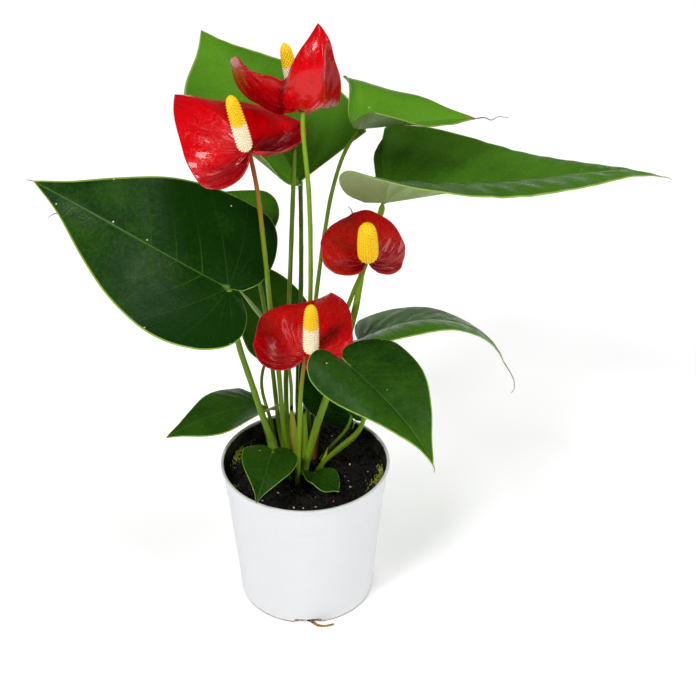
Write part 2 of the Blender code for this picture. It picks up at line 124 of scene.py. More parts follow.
# Half of a blade's outline, from beside the stalk round the lobe to the tip. The stalk is at (0, 0), the
# tip at (1, 0), and the length from stalk to tip is 1.
LEAF_OUTLINE = [
    (-0.13, 0.02), (-0.24, 0.10), (-0.26, 0.22), (-0.17, 0.34), (0.0, 0.405),
    (0.2, 0.395), (0.42, 0.315), (0.64, 0.19), (0.83, 0.075), (1.0, 0.0),
]
SPATHE_OUTLINE = [
    (-0.10, 0.03), (-0.28, 0.12), (-0.38, 0.28), (-0.32, 0.46), (-0.08, 0.58),
    (0.2, 0.57), (0.45, 0.47), (0.68, 0.32), (0.87, 0.15), (1.0, 0.0),
]

# A blade's design. at: where its stalk meets it, in mm. length: stalk to tip, in mm. wide and lobe: how much
# its left and right half, and their lobes behind the stalk, are scaled. turn: yaw, pitch and roll in
# degrees. fold: how far its left and right half rise from the midrib, and how that changes from stalk to
# tip. cup: how much more each half curls up towards its edge. droop: how the midrib bends down, at first and
# then faster, and how its lobes do. twist and sweep: its turn about the midrib, and its sideways curve.
Blade = namedtuple("Blade", "at length wide lobe turn fold cup droop twist sweep")

LEAVES = {
    "left_large": Blade(
        (-42, -13, 229), 132, (1.02, 1.08), (0.53, 0.48), (167, 26, -25), (9, 7, -11), (12, -12),
        (12, 13, 25), -27, -0.13),
    "left_behind": Blade(
        (-37, 42, 225), 114, (1.0, 1.09), (0.58, 0.6), (163, -5, -10), (10, 11, -1), (5, -6),
        (-5, -15, -2), 5, -0.05),
    "back_low": Blade(
        (-15, 54, 151), 81, (1.0, 0.8), (0.6, 0.8), (120, 50, 2), (25, 18, 1), (5, 3),
        (48, 29, -20), -2, -0.03),
    "top_back": Blade(
        (0, 50, 265), 132, (1.33, 0.96), (0.2, 0.01), (125, 36, -15), (50, 40, -56), (20, -2),
        (6, 26, -30), -3, -0.02),
    "top_right": Blade(
        (35, 30, 308), 73, (1.37, 0.99), (0.66, 0.54), (17, -4, 2), (63, 40, -47), (-52, 5),
        (-9, 17, -174), -3, 0.06),
    "right_large": Blade(
        (49, 22, 265), 172, (0.93, 0.99), (0.1, 0.55), (-1, 9, 0), (21, 56, -52), (-2, -35),
        (9, 18, -25), 2, 0.28),
    "right_drooping": Blade(
        (36, 18, 173.4), 99, (1.0, 1.06), (0.15, 0.15), (10, 27, -32), (19, 15, -20), (-6, -35),
        (37, 61, 0), 5, 0.06),
    "front_right": Blade(
        (25, -50.5, 200.9), 78, (1.25, 0.99), (0.69, 0.68), (-48, -15, -20), (12, 21, 0), (4, -72),
        (1, 23, -2), 17, -0.01),
    "low_left": Blade(
        (-29, 31, 119), 65, (1.23, 1.19), (0.12, 0.13), (204, 9, 8), (2, 7, -18), (32, -14),
        (22, 1, 14), -19, 0.07),
    "front_small": Blade(
        (-20, -19, 118), 41, (0.98, 1.05), (0.88, 0.81), (-98, 7, -9), (-5, -10, -7), (1, 1),
        (39, 4, 26), -1, -0.04),
    "seedling": Blade(
        (6, -9, 94), 31, (1.03, 0.9), (0.3, 0.4), (-62, -2, -3), (-6, 12, -16), (8, 30),
        (-13, -21, 3), 7, -0.01),
    "centre_low": Blade(
        (29, 5, 125.5), 67, (1.13, 0.7), (0.62, 0.4), (173, 59, -69), (-51, 5, 18), (0, 0),
        (-8, -4, 13), 7, -0.05),
}

SPATHES = {
    "left": Blade(
        (-28, -2, 311), 64, (0.88, 1.1), (0.45, 0.45), (133, 37, -10), (-15, 0, -14), (-12, -9),
        (35, 17, -20), 14, 0.09),
    "top": Blade(
        (2, 6, 330), 70, (0.4, 1.19), (0.91, 0.95), (-69, 15, 8), (5, 36, -1), (-15, 22),
        (-90, -51, 78), 5, 0.16),
    "right": Blade(
        (38, -14, 247), 36, (1.52, 1.17), (0.6, 0.63), (94, 57, 24), (12, 12, -1), (-3, -16),
        (50, 19, 12), -23, -0.03),
    "front": Blade(
        (1, -19.5, 186.8), 51, (1.17, 1.01), (0.64, 0.67), (66, 47, 1), (-4, 15, -26), (47, 8),
        (43, 14, 7), -17, 0.05),
}

# Spadices: the foot and the tip in mm, and the widest diameter in mm.
Spadix = namedtuple("Spadix", "foot tip diameter")
SPADICES = {
    "left": Spadix((-29.5, -2.8, 311.7), (-36.2, -18, 349.5), 8.2),
    "top": Spadix((-0.5, 9, 331.8), (-7.5, 18, 364.2), 7.6),
    "right": Spadix((37.3, -16, 249.9), (35.7, -34, 282.4), 10.5),
    "front": Spadix((4.4, -20.5, 190.9), (4.7, -33.5, 229.3), 8.6),
}

# The root that creeps out of the drain: its radius at its foot and its way, in mm.
Root = namedtuple("Root", "foot_radius way")
DRAIN_ROOT = Root(1.1, [
    (0, -36, 5.6), (0.5, -38, 2.4), (2, -41.5, 1.5), (6, -45.5, 1.4), (11, -46.5, 1.6), (16, -44.6, 1.3)])

SOIL_FOOT = 88.8  # mm, where the stalks leave the soil
# Sheaths: an open, tapering wrap around a stalk's foot. Foot and tip in mm, radius at the foot in mm, and the
# angle that its opening faces.
Sheath = namedtuple("Sheath", "foot tip radius opening")
SHEATHS = {
    "cataphyll_yellow": Sheath((-6, 11, SOIL_FOOT), (-8, 14, 130), 3.0, 90),
    "cataphyll_green": Sheath((-1, 14, SOIL_FOOT), (0, 22, 122), 2.7, 90),
    "cataphyll_dry": Sheath((4, 13, SOIL_FOOT), (7.5, 20, 116), 2.9, 150),
}


def sizes():
    return bpy.context.scene.anthurium_sizes


def colours():
    return bpy.context.scene.anthurium_colours


def rgba(colour):
    return (*colour, 1.0)


def add_node(tree, kind, inputs=None, **settings):
    """Adds a shader node, sets its settings, and gives each input a value or a link."""
    made = tree.nodes.new("ShaderNode" + kind)
    for name, value in settings.items():
        setattr(made, name, value)
    for key, value in (inputs or {}).items():
        if isinstance(value, bpy.types.NodeSocket):
            tree.links.new(value, made.inputs[key])
        else:
            made.inputs[key].default_value = value
    return made


def new_material(name, **surface):
    """A material with a Principled shader. Surface gives the values that are the same all over."""
    made = bpy.data.materials.new(name)
    made.use_nodes = True
    shader = made.node_tree.nodes["Principled BSDF"]
    for socket, value in surface.items():
        shader.inputs[socket.replace("_", " ")].default_value = value
    return made, made.node_tree, shader


def blend_colours(tree, factor, first, second):
    mixed = add_node(tree, "Mix", {0: factor, 6: first, 7: second}, data_type="RGBA")
    return mixed.outputs[2]


def attribute(tree, name):
    return add_node(tree, "Attribute", attribute_name=name).outputs["Fac"]


def ramp(tree, value, low, high, to_low=0.0, to_high=1.0):
    """The value's place between low and high, eased, as a number between to_low and to_high."""
    made = add_node(
        tree, "MapRange", {"Value": value, "From Min": low, "From Max": high, "To Min": to_low,
                           "To Max": to_high}, interpolation_type="SMOOTHSTEP")
    return made.outputs["Result"]


def own_place(tree):
    """Where a point of the piece is, on the piece's own coordinates."""
    return add_node(tree, "TexCoord").outputs["Object"]


def own_height(tree):
    return add_node(tree, "SeparateXYZ", {0: own_place(tree)}).outputs[2]


def speckle(tree, scale, detail=3.0, roughness=0.55):
    """Soft noise on the piece's own coordinates; scale is in patches per metre."""
    made = add_node(tree, "TexNoise", {
        "Vector": own_place(tree), "Scale": scale, "Detail": detail, "Roughness": roughness})
    return made.outputs["Fac"]


def patchy(tree, scale, low, high):
    """A number that wanders between low and high from patch to patch."""
    return ramp(tree, speckle(tree, scale), 0.3, 0.7, low, high)


def streaks(tree, across, lengthwise):
    """Noise drawn out along an upright piece; both scales are in streaks per metre."""
    drawn_out = add_node(tree, "Mapping", {"Vector": own_place(tree), "Scale": (across, across, lengthwise)})
    made = add_node(tree, "TexNoise", {"Vector": drawn_out.outputs[0], "Scale": 1.0, "Detail": 2.0})
    return made.outputs["Fac"]


def calculate(tree, operation, first, second=0.0):
    return add_node(tree, "Math", {0: first, 1: second}, operation=operation).outputs[0]


def uneven(tree, scale, amount, detail=3.0):
    """Noise around zero, to add to a tint: its whole spread is the amount."""
    return calculate(tree, "MULTIPLY", calculate(tree, "SUBTRACT", speckle(tree, scale, detail), 0.5), amount)


def coat(tree, shader, colour, roughness=None, bump=None):
    """Links the shader to its colour, its roughness, and a bump: its strength, depth in metres and relief."""
    tree.links.new(colour, shader.inputs["Base Color"])
    if roughness:
        tree.links.new(roughness, shader.inputs["Roughness"])
    if bump:
        strength, depth, relief = bump
        made = add_node(tree, "Bump", {"Strength": strength, "Distance": depth, "Height": relief})
        tree.links.new(made.outputs[0], shader.inputs["Normal"])


def vein_lines(tree, half_width):
    """1 along the midrib and the side veins, falling to 0 beside them, and fading towards the edge."""
    place = attribute(tree, "vein")
    across = attribute(tree, "across")
    ring = attribute(tree, "ring")
    turn = calculate(tree, "FRACT", calculate(tree, "ADD", place, 0.5))
    beside = calculate(tree, "ABSOLUTE", calculate(tree, "SUBTRACT", turn, 0.5))
    side_veins = ramp(tree, beside, 0.0, half_width, 1.0, 0.0)
    fading = ramp(tree, ring, 0.05, 0.7, 0.9, 0.12)
    midrib = ramp(tree, across, 0.001, 0.0055, 1.0, 0.0)
    return calculate(tree, "MAXIMUM", calculate(tree, "MULTIPLY", side_veins, fading), midrib)


def leaf_upper_material():
    """Waxy cuticle over dark green tissue: a soft gloss, pale sunken veins, a thin pale edge, few specks."""
    made, tree, shader = new_material("anthurium_leaf_cuticle", IOR=1.4, Specular_IOR_Level=0.15)
    c = colours()
    lines = vein_lines(tree, 0.035)
    ring = attribute(tree, "ring")
    mottle = calculate(tree, "ADD", uneven(tree, 28.0, 0.5), uneven(tree, 420.0, 0.3, 4.0))
    youth = calculate(tree, "ADD", attribute(tree, "tint"), mottle)
    flesh = blend_colours(tree, youth, rgba(c.leaf_dark), rgba(c.leaf_bright))
    veined = blend_colours(tree, calculate(tree, "MULTIPLY", lines, 0.3), flesh, rgba(c.leaf_vein))
    knotted = blend_colours(tree, ramp(tree, ring, 0.01, 0.05, 0.7, 0.0), veined, rgba(c.leaf_vein))
    edged = blend_colours(tree, ramp(tree, ring, 0.98, 0.993, 0.0, 0.9), knotted, rgba(c.leaf_margin))
    tipped = blend_colours(tree, attribute(tree, "dry"), edged, rgba(c.dry_tip))
    cells = add_node(tree, "TexVoronoi", {"Vector": own_place(tree), "Scale": 150.0}, feature="F1")
    speck = ramp(tree, cells.outputs["Distance"], 0.05, 0.095, 0.85, 0.0)
    rare = ramp(tree, add_node(tree, "SeparateColor", {0: cells.outputs["Color"]}).outputs[0], 0.8, 0.84)
    specked = blend_colours(tree, calculate(tree, "MULTIPLY", speck, rare), tipped, rgba(c.perlite))
    relief = calculate(tree, "SUBTRACT", calculate(tree, "MULTIPLY", speckle(tree, 620.0, 4.0), 1.2), lines)
    coat(tree, shader, specked, patchy(tree, 160.0, 0.24, 0.4), (0.45, 0.4 * MM, relief))
    return made


def leaf_under_material():
    """The leaf's underside: no wax, so it is paler and duller, with veins that stand out."""
    made, tree, shader = new_material("anthurium_leaf_underside", IOR=1.42)
    c = colours()
    lines = vein_lines(tree, 0.06)
    share = calculate(tree, "ADD", calculate(tree, "MULTIPLY", attribute(tree, "tint"), 0.4),
                      uneven(tree, 60.0, 0.3))
    flesh = blend_colours(tree, share, rgba(c.leaf_back), rgba(c.leaf_bright))
    veined = blend_colours(tree, calculate(tree, "MULTIPLY", lines, 0.5), flesh, rgba(c.leaf_margin))
    tipped = blend_colours(tree, attribute(tree, "dry"), veined, rgba(c.dry_tip))
    coat(tree, shader, tipped, patchy(tree, 300.0, 0.42, 0.58), (0.5, 0.4 * MM, lines))
    return made


def margin_material():
    """The thin, almost see-through edge of a leaf, pale yellow-green."""
    made, tree, shader = new_material("anthurium_leaf_margin", Roughness=0.4, IOR=1.4)
    c = colours()
    coat(tree, shader, blend_colours(tree, speckle(tree, 200.0), rgba(c.leaf_margin), rgba(c.leaf_vein)))
    return made


def spathe_wrinkles(tree):
    """Uneven wrinkles that run along the veins of a spathe, from its stalk outwards."""
    along = add_node(tree, "CombineXYZ", {
        axis: calculate(tree, "MULTIPLY", attribute(tree, name), stretch)
        for axis, (name, stretch) in enumerate((("vein", 1.3), ("ring", 5.0), ("across", 3.0)))})
    made = add_node(
        tree, "TexNoise", {"Vector": along.outputs[0], "Scale": 1.9, "Detail": 3.5, "Distortion": 0.7})
    return made.outputs["Fac"]


def spathe_upper_material():
    """Thick waxy red tissue: a strong, almost wet gloss over uneven wrinkles that follow the veins, with
    painted shade in their troughs.
    """
    made, tree, shader = new_material(
        "anthurium_spathe_wax", IOR=1.42, Specular_IOR_Level=0.2,
        Coat_Weight=0.4, Coat_Roughness=0.05, Coat_IOR=1.4)
    c = colours()
    wrinkles = spathe_wrinkles(tree)
    cloud = ramp(tree, speckle(tree, 40.0), 0.35, 0.7, 0.0, 0.15)
    # painted shade: the red deepens in the wrinkles' troughs; the cloud is the spathe's own uneven tone
    shade = calculate(tree, "ADD", ramp(tree, wrinkles, 0.45, 0.3, 0.0, 0.35), cloud)
    deep = calculate(tree, "ADD", shade, attribute(tree, "tint"))
    flesh = blend_colours(tree, deep, rgba(c.spathe_red), rgba(c.spathe_deep_and_shade))
    edged = blend_colours(tree, ramp(tree, attribute(tree, "ring"), 0.985, 1.0, 0.0, 0.5), flesh,
                          rgba(c.spathe_back))
    tipped = blend_colours(tree, attribute(tree, "dry"), edged, rgba(c.dry))
    relief = calculate(tree, "ADD", wrinkles, calculate(tree, "MULTIPLY", speckle(tree, 520.0), 0.5))
    coat(tree, shader, tipped, patchy(tree, 260.0, 0.2, 0.3), (0.7, 0.9 * MM, relief))
    return made


def spathe_under_material():
    """The spathe's back: duller, deeper red, with paler pinkish wrinkles that stand out along its veins."""
    made, tree, shader = new_material("anthurium_spathe_back", IOR=1.42, Coat_Weight=0.25, Coat_Roughness=0.2)
    c = colours()
    wrinkles = spathe_wrinkles(tree)
    flesh = blend_colours(
        tree, ramp(tree, speckle(tree, 90.0), 0.35, 0.65), rgba(c.spathe_deep_and_shade), rgba(c.spathe_red))
    pale = blend_colours(tree, ramp(tree, wrinkles, 0.55, 0.72, 0.0, 0.55), flesh, rgba(c.spathe_back))
    coat(tree, shader, pale, patchy(tree, 240.0, 0.3, 0.45), (0.8, 0.9 * MM, wrinkles))
    return made


def spathe_edge_material():
    """The cut-like edge of a spathe, where light passes: a pale orange red."""
    made, tree, shader = new_material("anthurium_spathe_edge", Roughness=0.3, IOR=1.45)
    c = colours()
    share = calculate(tree, "MULTIPLY", speckle(tree, 150.0), 0.7)
    coat(tree, shader, blend_colours(tree, share, rgba(c.spathe_back), rgba(c.stalk_red)))
    return made


def stalk_material():
    """Smooth fresh stalk: green, blushed red where it nears a flower, with fine lengthwise streaks."""
    made, tree, shader = new_material("anthurium_stalk_skin", IOR=1.4, Specular_IOR_Level=0.25)
    c = colours()
    fibres = streaks(tree, 900.0, 30.0)
    shade = calculate(tree, "ADD", calculate(tree, "MULTIPLY", fibres, 0.35), attribute(tree, "tint"))
    green = blend_colours(tree, shade, rgba(c.stalk_green), rgba(c.leaf_dark))
    blushed = blend_colours(tree, attribute(tree, "blush"), green, rgba(c.stalk_red))
    coat(tree, shader, blushed, patchy(tree, 400.0, 0.32, 0.45), (0.25, 0.1 * MM, fibres))
    return made


def spadix_material():
    """Crowded tiny florets: cream where they have opened, ripe yellow towards the tip, with painted shade
    between them.
    """
    made, tree, shader = new_material(
        "anthurium_spadix_florets", IOR=1.42, Subsurface_Weight=0.12, Subsurface_Scale=0.002)
    c = colours()
    height = calculate(tree, "ADD", attribute(tree, "ripe"), uneven(tree, 700.0, 0.3))
    skin = blend_colours(tree, ramp(tree, height, 0.35, 0.65), rgba(c.spadix_cream), rgba(c.spadix_yellow))
    raised = attribute(tree, "raised")
    # painted shade: a brown-orange darkens the creases between the florets
    shaded = blend_colours(tree, ramp(tree, raised, 0.0, 0.5, 0.2, 0.0), skin, rgba(linear("#B07A20")))
    coat(tree, shader, shaded, ramp(tree, raised, 0.0, 1.0, 0.6, 0.42))
    return made


PAINTED_SHADE_BROWN = "#3A352A"  # painted shade and shadow: dark brown-grey


def pot_material():
    """Thin moulded polypropylene: white, satin, faintly mottled by the mould, with painted shadow along its
    foot.
    """
    made, tree, shader = new_material(
        "white_polypropylene", IOR=1.49, Subsurface_Weight=0.08, Subsurface_Scale=0.002)
    c = colours()
    grey = tuple(channel * 0.86 for channel in c.pot_white)
    mottle = ramp(tree, speckle(tree, 60.0), 0.35, 0.75, 0.0, 0.1)
    ragged = calculate(
        tree, "ADD", own_height(tree), calculate(tree, "MULTIPLY", speckle(tree, 90.0), -0.9 * MM))
    # painted shadow: the foot darkens where it meets the floor, with a ragged upper edge
    foot_shadow = ramp(tree, ragged, 0.4 * MM, 1.3 * MM, 0.95, 0.0)
    plain = blend_colours(tree, mottle, rgba(c.pot_white), rgba(grey))
    coat(tree, shader, blend_colours(tree, foot_shadow, plain, rgba(linear(PAINTED_SHADE_BROWN))),
         patchy(tree, 500.0, 0.34, 0.44), (0.15, 0.2 * MM, speckle(tree, 900.0)))
    return made


def shade_painted_wall_material():
    """The pot's inner wall and its underside: the same plastic, painted dark brown to black as the shade
    inside and under the pot.
    """
    made, tree, shader = new_material("shade_painted_wall", Roughness=0.6, IOR=1.49)
    c = colours()
    ragged = calculate(
        tree, "ADD", own_height(tree), calculate(tree, "MULTIPLY", speckle(tree, 260.0, 5.0), 4 * MM))
    shade_dark = blend_colours(
        tree, ramp(tree, speckle(tree, 300.0, 4.0), 0.35, 0.7), rgba(c.peat), rgba(linear(PAINTED_SHADE_BROWN)))
    white_at_rim = ramp(tree, ragged, 97.8 * MM, 99.2 * MM)
    coat(tree, shader, blend_colours(tree, white_at_rim, shade_dark, rgba(c.pot_white)))
    return made


def peat_material():
    """Moist peat: nearly black crumbs with a few brown fibres, dull but damp in places."""
    made, tree, shader = new_material("moist_peat", IOR=1.36)
    c = colours()
    brown = ramp(tree, speckle(tree, 420.0, 5.0, 0.7), 0.52, 0.72, 0.0, 0.7)
    coat(tree, shader, blend_colours(tree, brown, rgba(c.peat), rgba(linear("#33231A"))),
         ramp(tree, speckle(tree, 250.0), 0.35, 0.65, 0.55, 0.9),
         (0.8, 0.8 * MM, speckle(tree, 900.0, 6.0, 0.7)))
    return made


# Dull stuff with an uneven colour: its main colour's setting, its other colour, its roughness, and its
# patches per metre.
DULL_FINISHES = {
    "expanded_perlite": ("perlite", "#B9B0A2", 0.85, 900.0),
    "dry_fibre": ("dry", "#3A2416", 0.8, 900.0),
    "cushion_moss": ("moss", "#B4B84A", 0.75, 350.0),
    "dry_drip_tip": ("dry_tip", "#6E5A30", 0.6, 300.0),
    "root_skin": ("root", "#6A2C1A", 0.6, 260.0),
}


def dull_material(name):
    """One of the dull finishes, grainy to the touch: its colour and relief vary from place to place."""
    setting, other, roughness, scale = DULL_FINISHES[name]
    made, tree, shader = new_material(name, Roughness=roughness, IOR=1.4)
    main = getattr(colours(), setting)
    mixed = blend_colours(tree, patchy(tree, scale, 0.0, 1.0), rgba(main), rgba(linear(other)))
    coat(tree, shader, mixed, bump=(0.4, 0.3 * MM, speckle(tree, scale * 2)))
    return made


def sheath_material():
    """Papery sheath: yellow-green with fine ribs, drying to brown towards its tip."""
    made, tree, shader = new_material("anthurium_sheath", IOR=1.4)
    c = colours()
    ribs = streaks(tree, 1500.0, 40.0)
    greener = calculate(tree, "ADD", attribute(tree, "tint"), calculate(tree, "MULTIPLY", ribs, 0.4))
    fresh = blend_colours(tree, greener, rgba(c.sheath), rgba(c.stalk_green))
    dried = blend_colours(tree, attribute(tree, "dry"), fresh, rgba(c.dry))
    charred = blend_colours(tree, attribute(tree, "blush"), dried, rgba(c.peat))
    coat(tree, shader, charred, ramp(tree, ribs, 0.3, 0.7, 0.45, 0.6), (0.4, 0.2 * MM, ribs))
    return made


def shared(name, maker):
    """The material of that name, made the first time that it is asked for."""
    return bpy.data.materials.get(name) or maker()


def attribute_layers(bm, names):
    return {name: bm.verts.layers.float.new(name) for name in names}


def drawn_mesh(bm, name):
    mesh = bpy.data.meshes.new(name)
    bm.to_mesh(mesh)
    bm.free()
    return mesh


def put_in_scene(name, data):
    made = bpy.data.objects.new(name, data)
    bpy.context.scene.collection.objects.link(made)
    return made


def turn_profile(bm, points, steps, closed=False):
    """Turns a profile of (radius, height) points round the Z axis. A closed one is a ring with an inside."""
    verts = [bm.verts.new((radius, 0, height)) for radius, height in points]
    for first, second in zip(verts, verts[1:] + verts[:1] if closed else verts[1:]):
        if first.co.x > 0 or second.co.x > 0:
            bm.edges.new((first, second))
    bmesh.ops.spin(bm, geom=bm.verts[:] + bm.edges[:], axis=(0, 0, 1), cent=(0, 0, 0), angle=2 * math.pi,
                   steps=steps, use_merge=True)
    bmesh.ops.remove_doubles(bm, verts=bm.verts, dist=1e-6)


def finish_piece(bm, name, materials, node=None, smooth=True):
    """Turns the drawn mesh into a piece that rides on the plant, and stands for its solid if it has one."""
    mesh = drawn_mesh(bm, name)
    if smooth:
        mesh.shade_smooth()
    for each in materials:
        mesh.materials.append(each)
    piece = put_in_scene(name, mesh)
    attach(piece, ROOT)
    if node:
        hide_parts(node)
    return piece


def smooth_curve(points, steps):
    """Points along a smooth curve through the given ones, evenly spaced in the curve's own parameter."""
    points = [Vector(p) for p in points]
    run = [2 * points[0] - points[1]] + points + [2 * points[-1] - points[-2]]
    spans = len(points) - 1
    found = []
    for step in range(steps + 1):
        place = step / steps * spans
        i = min(int(place), spans - 1)
        t = place - i
        a, b, c, d = run[i:i + 4]
        found.append(0.5 * (2 * b + (c - a) * t + (2 * a - 5 * b + 4 * c - d) * t**2
                            + (3 * b - a - 3 * c + d) * t**3))
    return found


def step_up(value):
    """0 below 0, 1 above 1, and a smooth rise in between."""
    value = max(0.0, min(1.0, value))
    return value * value * (3 - 2 * value)


class Midrib:
    """The bent midrib of a blade: where it is and how steep, at any distance along the flat blade."""

    STEP = 0.01

    def __init__(self, blade):
        self.ahead = self.walk(blade, 1.0, 1.02)
        self.behind = self.walk(blade, -1.0, 0.8)

    def walk(self, blade, way, reach):
        first, faster, lobes = (math.radians(angle) for angle in blade.droop)

        def slope(along):
            return first * along + faster * along**2 if way > 0 else lobes * along

        place = Vector((0.0, 0.0))
        found = []
        for i in range(round(reach / self.STEP) + 2):
            along = way * i * self.STEP
            found.append((place.copy(), slope(along)))
            lean = slope(along + way * self.STEP / 2)
            place += Vector((math.cos(lean), -math.sin(lean))) * self.STEP * way
        return found

    def at(self, along):
        side = self.ahead if along >= 0 else self.behind
        spot = abs(along) / self.STEP
        i = min(int(spot), len(side) - 2)
        (here, slope), (there, next_slope) = side[i], side[i + 1]
        return here.lerp(there, spot - i), slope + (next_slope - slope) * (spot - i)


def blade_point(blade, midrib, along, across, side):
    """A point of the flat outline, in blade lengths, moved to its place on the folded and bent blade."""
    half = 0 if side > 0 else 1
    if along < 0:
        along *= blade.lobe[half]
    fold = math.radians(blade.fold[half] + blade.fold[2] * along)
    curl = math.radians(blade.cup[half]) / 0.4 or 1e-6
    reach = across * blade.wide[half]
    out = (math.sin(fold + curl * reach) - math.sin(fold)) / curl
    rise = (math.cos(fold) - math.cos(fold + curl * reach)) / curl
    spot, slope = midrib.at(along)
    twist = math.radians(blade.twist) * along
    sideways = side * out * math.cos(twist) - rise * math.sin(twist) + blade.sweep * along * abs(along)
    height = side * out * math.sin(twist) + rise * math.cos(twist)
    return Vector((spot.x + height * math.sin(slope), sideways, spot.y + height * math.cos(slope)))


def blade_turn(blade):
    yaw, pitch, roll = (math.radians(angle) for angle in blade.turn)
    return Matrix.Rotation(yaw, 3, "Z") @ Matrix.Rotation(-pitch, 3, "Y") @ Matrix.Rotation(roll, 3, "X")


def leaf_vein(x, y):
    """Which vein a point of a flat leaf is on: whole numbers are veins, ahead and round the lobes."""
    lateral = x - 0.55 * y - 0.6 * y * y
    if lateral > 0:
        return lateral / 0.125
    if y < 1e-6:
        return 0.0
    return -(math.atan2(y, x) - math.atan2(1, 0.55 + 0.6 * y)) / math.radians(25)


def spathe_vein(x, y):
    """The same for a spathe, whose veins all leave the stalk and arch towards the tip."""
    out = min(1.0, math.hypot(x, y))
    return math.atan2(y, x) / (math.radians(17) * (1 - 0.72 * out))


def draw_blade(blade, outline, spokes, rings, vein, relief, seed, tint, dry_from):
    """A fine heart-shaped sheet with quilting between its veins and a gently waving edge."""
    half = spokes // 2
    edge = smooth_curve([(x, y, 0) for x, y in outline], half)
    turn = blade_turn(blade)
    midrib = Midrib(blade)
    bm = bmesh.new()
    bmesh.ops.create_grid(bm, x_segments=spokes, y_segments=rings, size=1)
    layers = attribute_layers(bm, ("vein", "across", "ring", "tint", "dry", "lift", "along", "half"))
    for vert in bm.verts:
        spoke = round((vert.co.x + 1) / 2 * spokes)
        out = round((vert.co.y + 1) / 2 * rings) / rings
        side = 1 if spoke <= half else -1
        on_edge = edge[spoke if side > 0 else spokes - spoke]
        x, y = on_edge.x * out, on_edge.y * out
        place = vein(x, y)
        vert[layers["vein"]] = place
        vert[layers["across"]] = y
        vert[layers["along"]] = x
        vert[layers["half"]] = side * min(1.0, y / 0.1)
        vert[layers["ring"]] = out
        vert[layers["tint"]] = tint
        vert[layers["dry"]] = 1.0 if x > dry_from else 0.0
        ripple = noise.noise(Vector((x * 7, side * y * 7, seed)))
        wave = noise.noise(Vector((on_edge.x * 3.1, side * on_edge.y * 3.1, seed + 9)))
        fading = min(1.0, 4 * out * (1.12 - out), y / 0.03)
        lift = -math.cos(2 * math.pi * place) * (0.7 + 0.6 * ripple) * fading
        if x < 0 and vein is leaf_vein:
            lift *= 0.4
        if vein is spathe_vein:
            lobe = 1 - step_up(x / 0.25 + 0.5)
            lift = 2.6 * noise.noise(Vector((place * 0.9, out * 2.4, seed + 4))) * fading * (1 + 0.9 * lobe)
            # painted shade: the red deepens in the hollow of each lobe, between its foot and its rim
            vert[layers["tint"]] += 0.3 * lobe * 4 * out * (1 - out)
            lift -= 0.05 * blade.length * MM * 4 * out * (1 - out) * lobe * min(1.0, y / 0.08) / relief
        vert[layers["lift"]] = lift * relief + 2 * wave * out**3 * sizes().edge_wave
        vert.co = turn @ blade_point(blade, midrib, x, y, side) * blade.length * MM + Vector(blade.at) * MM
    bmesh.ops.remove_doubles(bm, verts=bm.verts, dist=1e-6)
    upper = sum((face.normal * face.calc_area() for face in bm.faces), Vector())
    if upper.dot(turn @ Vector((0, 0, 1))) < 0:
        bmesh.ops.reverse_faces(bm, faces=bm.faces)
    bm.normal_update()
    moved = [(vert, vert.normal * vert[layers["lift"]]) for vert in bm.verts]
    for vert, step in moved:
        vert.co += step
    return bm


def seat_on(bm, node):
    """Moves the drawn mesh so that the middle of its box is the middle of its solid's box."""
    low, high = (Vector(corner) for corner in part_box(node))
    own_low = Vector([min(vert.co[i] for vert in bm.verts) for i in range(3)])
    own_high = Vector([max(vert.co[i] for vert in bm.verts) for i in range(3)])
    bmesh.ops.translate(bm, verts=bm.verts, vec=(low + high - own_low - own_high) / 2)


def thicken(piece, thickness):
    """Gives a sheet its thickness, its underside the second material and its rim the third."""
    shell = piece.modifiers.new("Thickness", "SOLIDIFY")
    shell.thickness = thickness
    shell.offset = -1
    shell.material_offset = 1
    shell.material_offset_rim = 2


def centreline(node, spacing=3 * MM):
    """The middle and the radius of a stalk's solid, from level cuts through it, from its foot to its top."""
    low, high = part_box(node)
    bm = bmesh.new()
    bm.from_mesh(bpy.data.objects[node].data)
    bmesh.ops.remove_doubles(bm, verts=bm.verts, dist=1e-6)
    count = max(4, round((high[2] - low[2]) / spacing))
    inset = 0.4 * MM
    found = []
    for i in range(count + 1):
        level = low[2] + inset + (high[2] - low[2] - 2 * inset) * i / count
        everything = bm.verts[:] + bm.edges[:] + bm.faces[:]
        cut = bmesh.ops.bisect_plane(bm, geom=everything, plane_co=(0, 0, level), plane_no=(0, 0, 1))
        ring = [part.co for part in cut["geom_cut"] if isinstance(part, bmesh.types.BMVert)]
        middle = sum(ring, Vector()) / len(ring)
        found.append((middle, min((co - middle).length for co in ring)))
    bm.free()
    middles = [middle for middle, radius in found]
    for _ in range(4):
        inner = [(a + 2 * b + c) / 4 for a, b, c in zip(middles, middles[1:], middles[2:])]
        middles = [middles[0]] + inner + [middles[-1]]
    return middles, [radius for middle, radius in found]


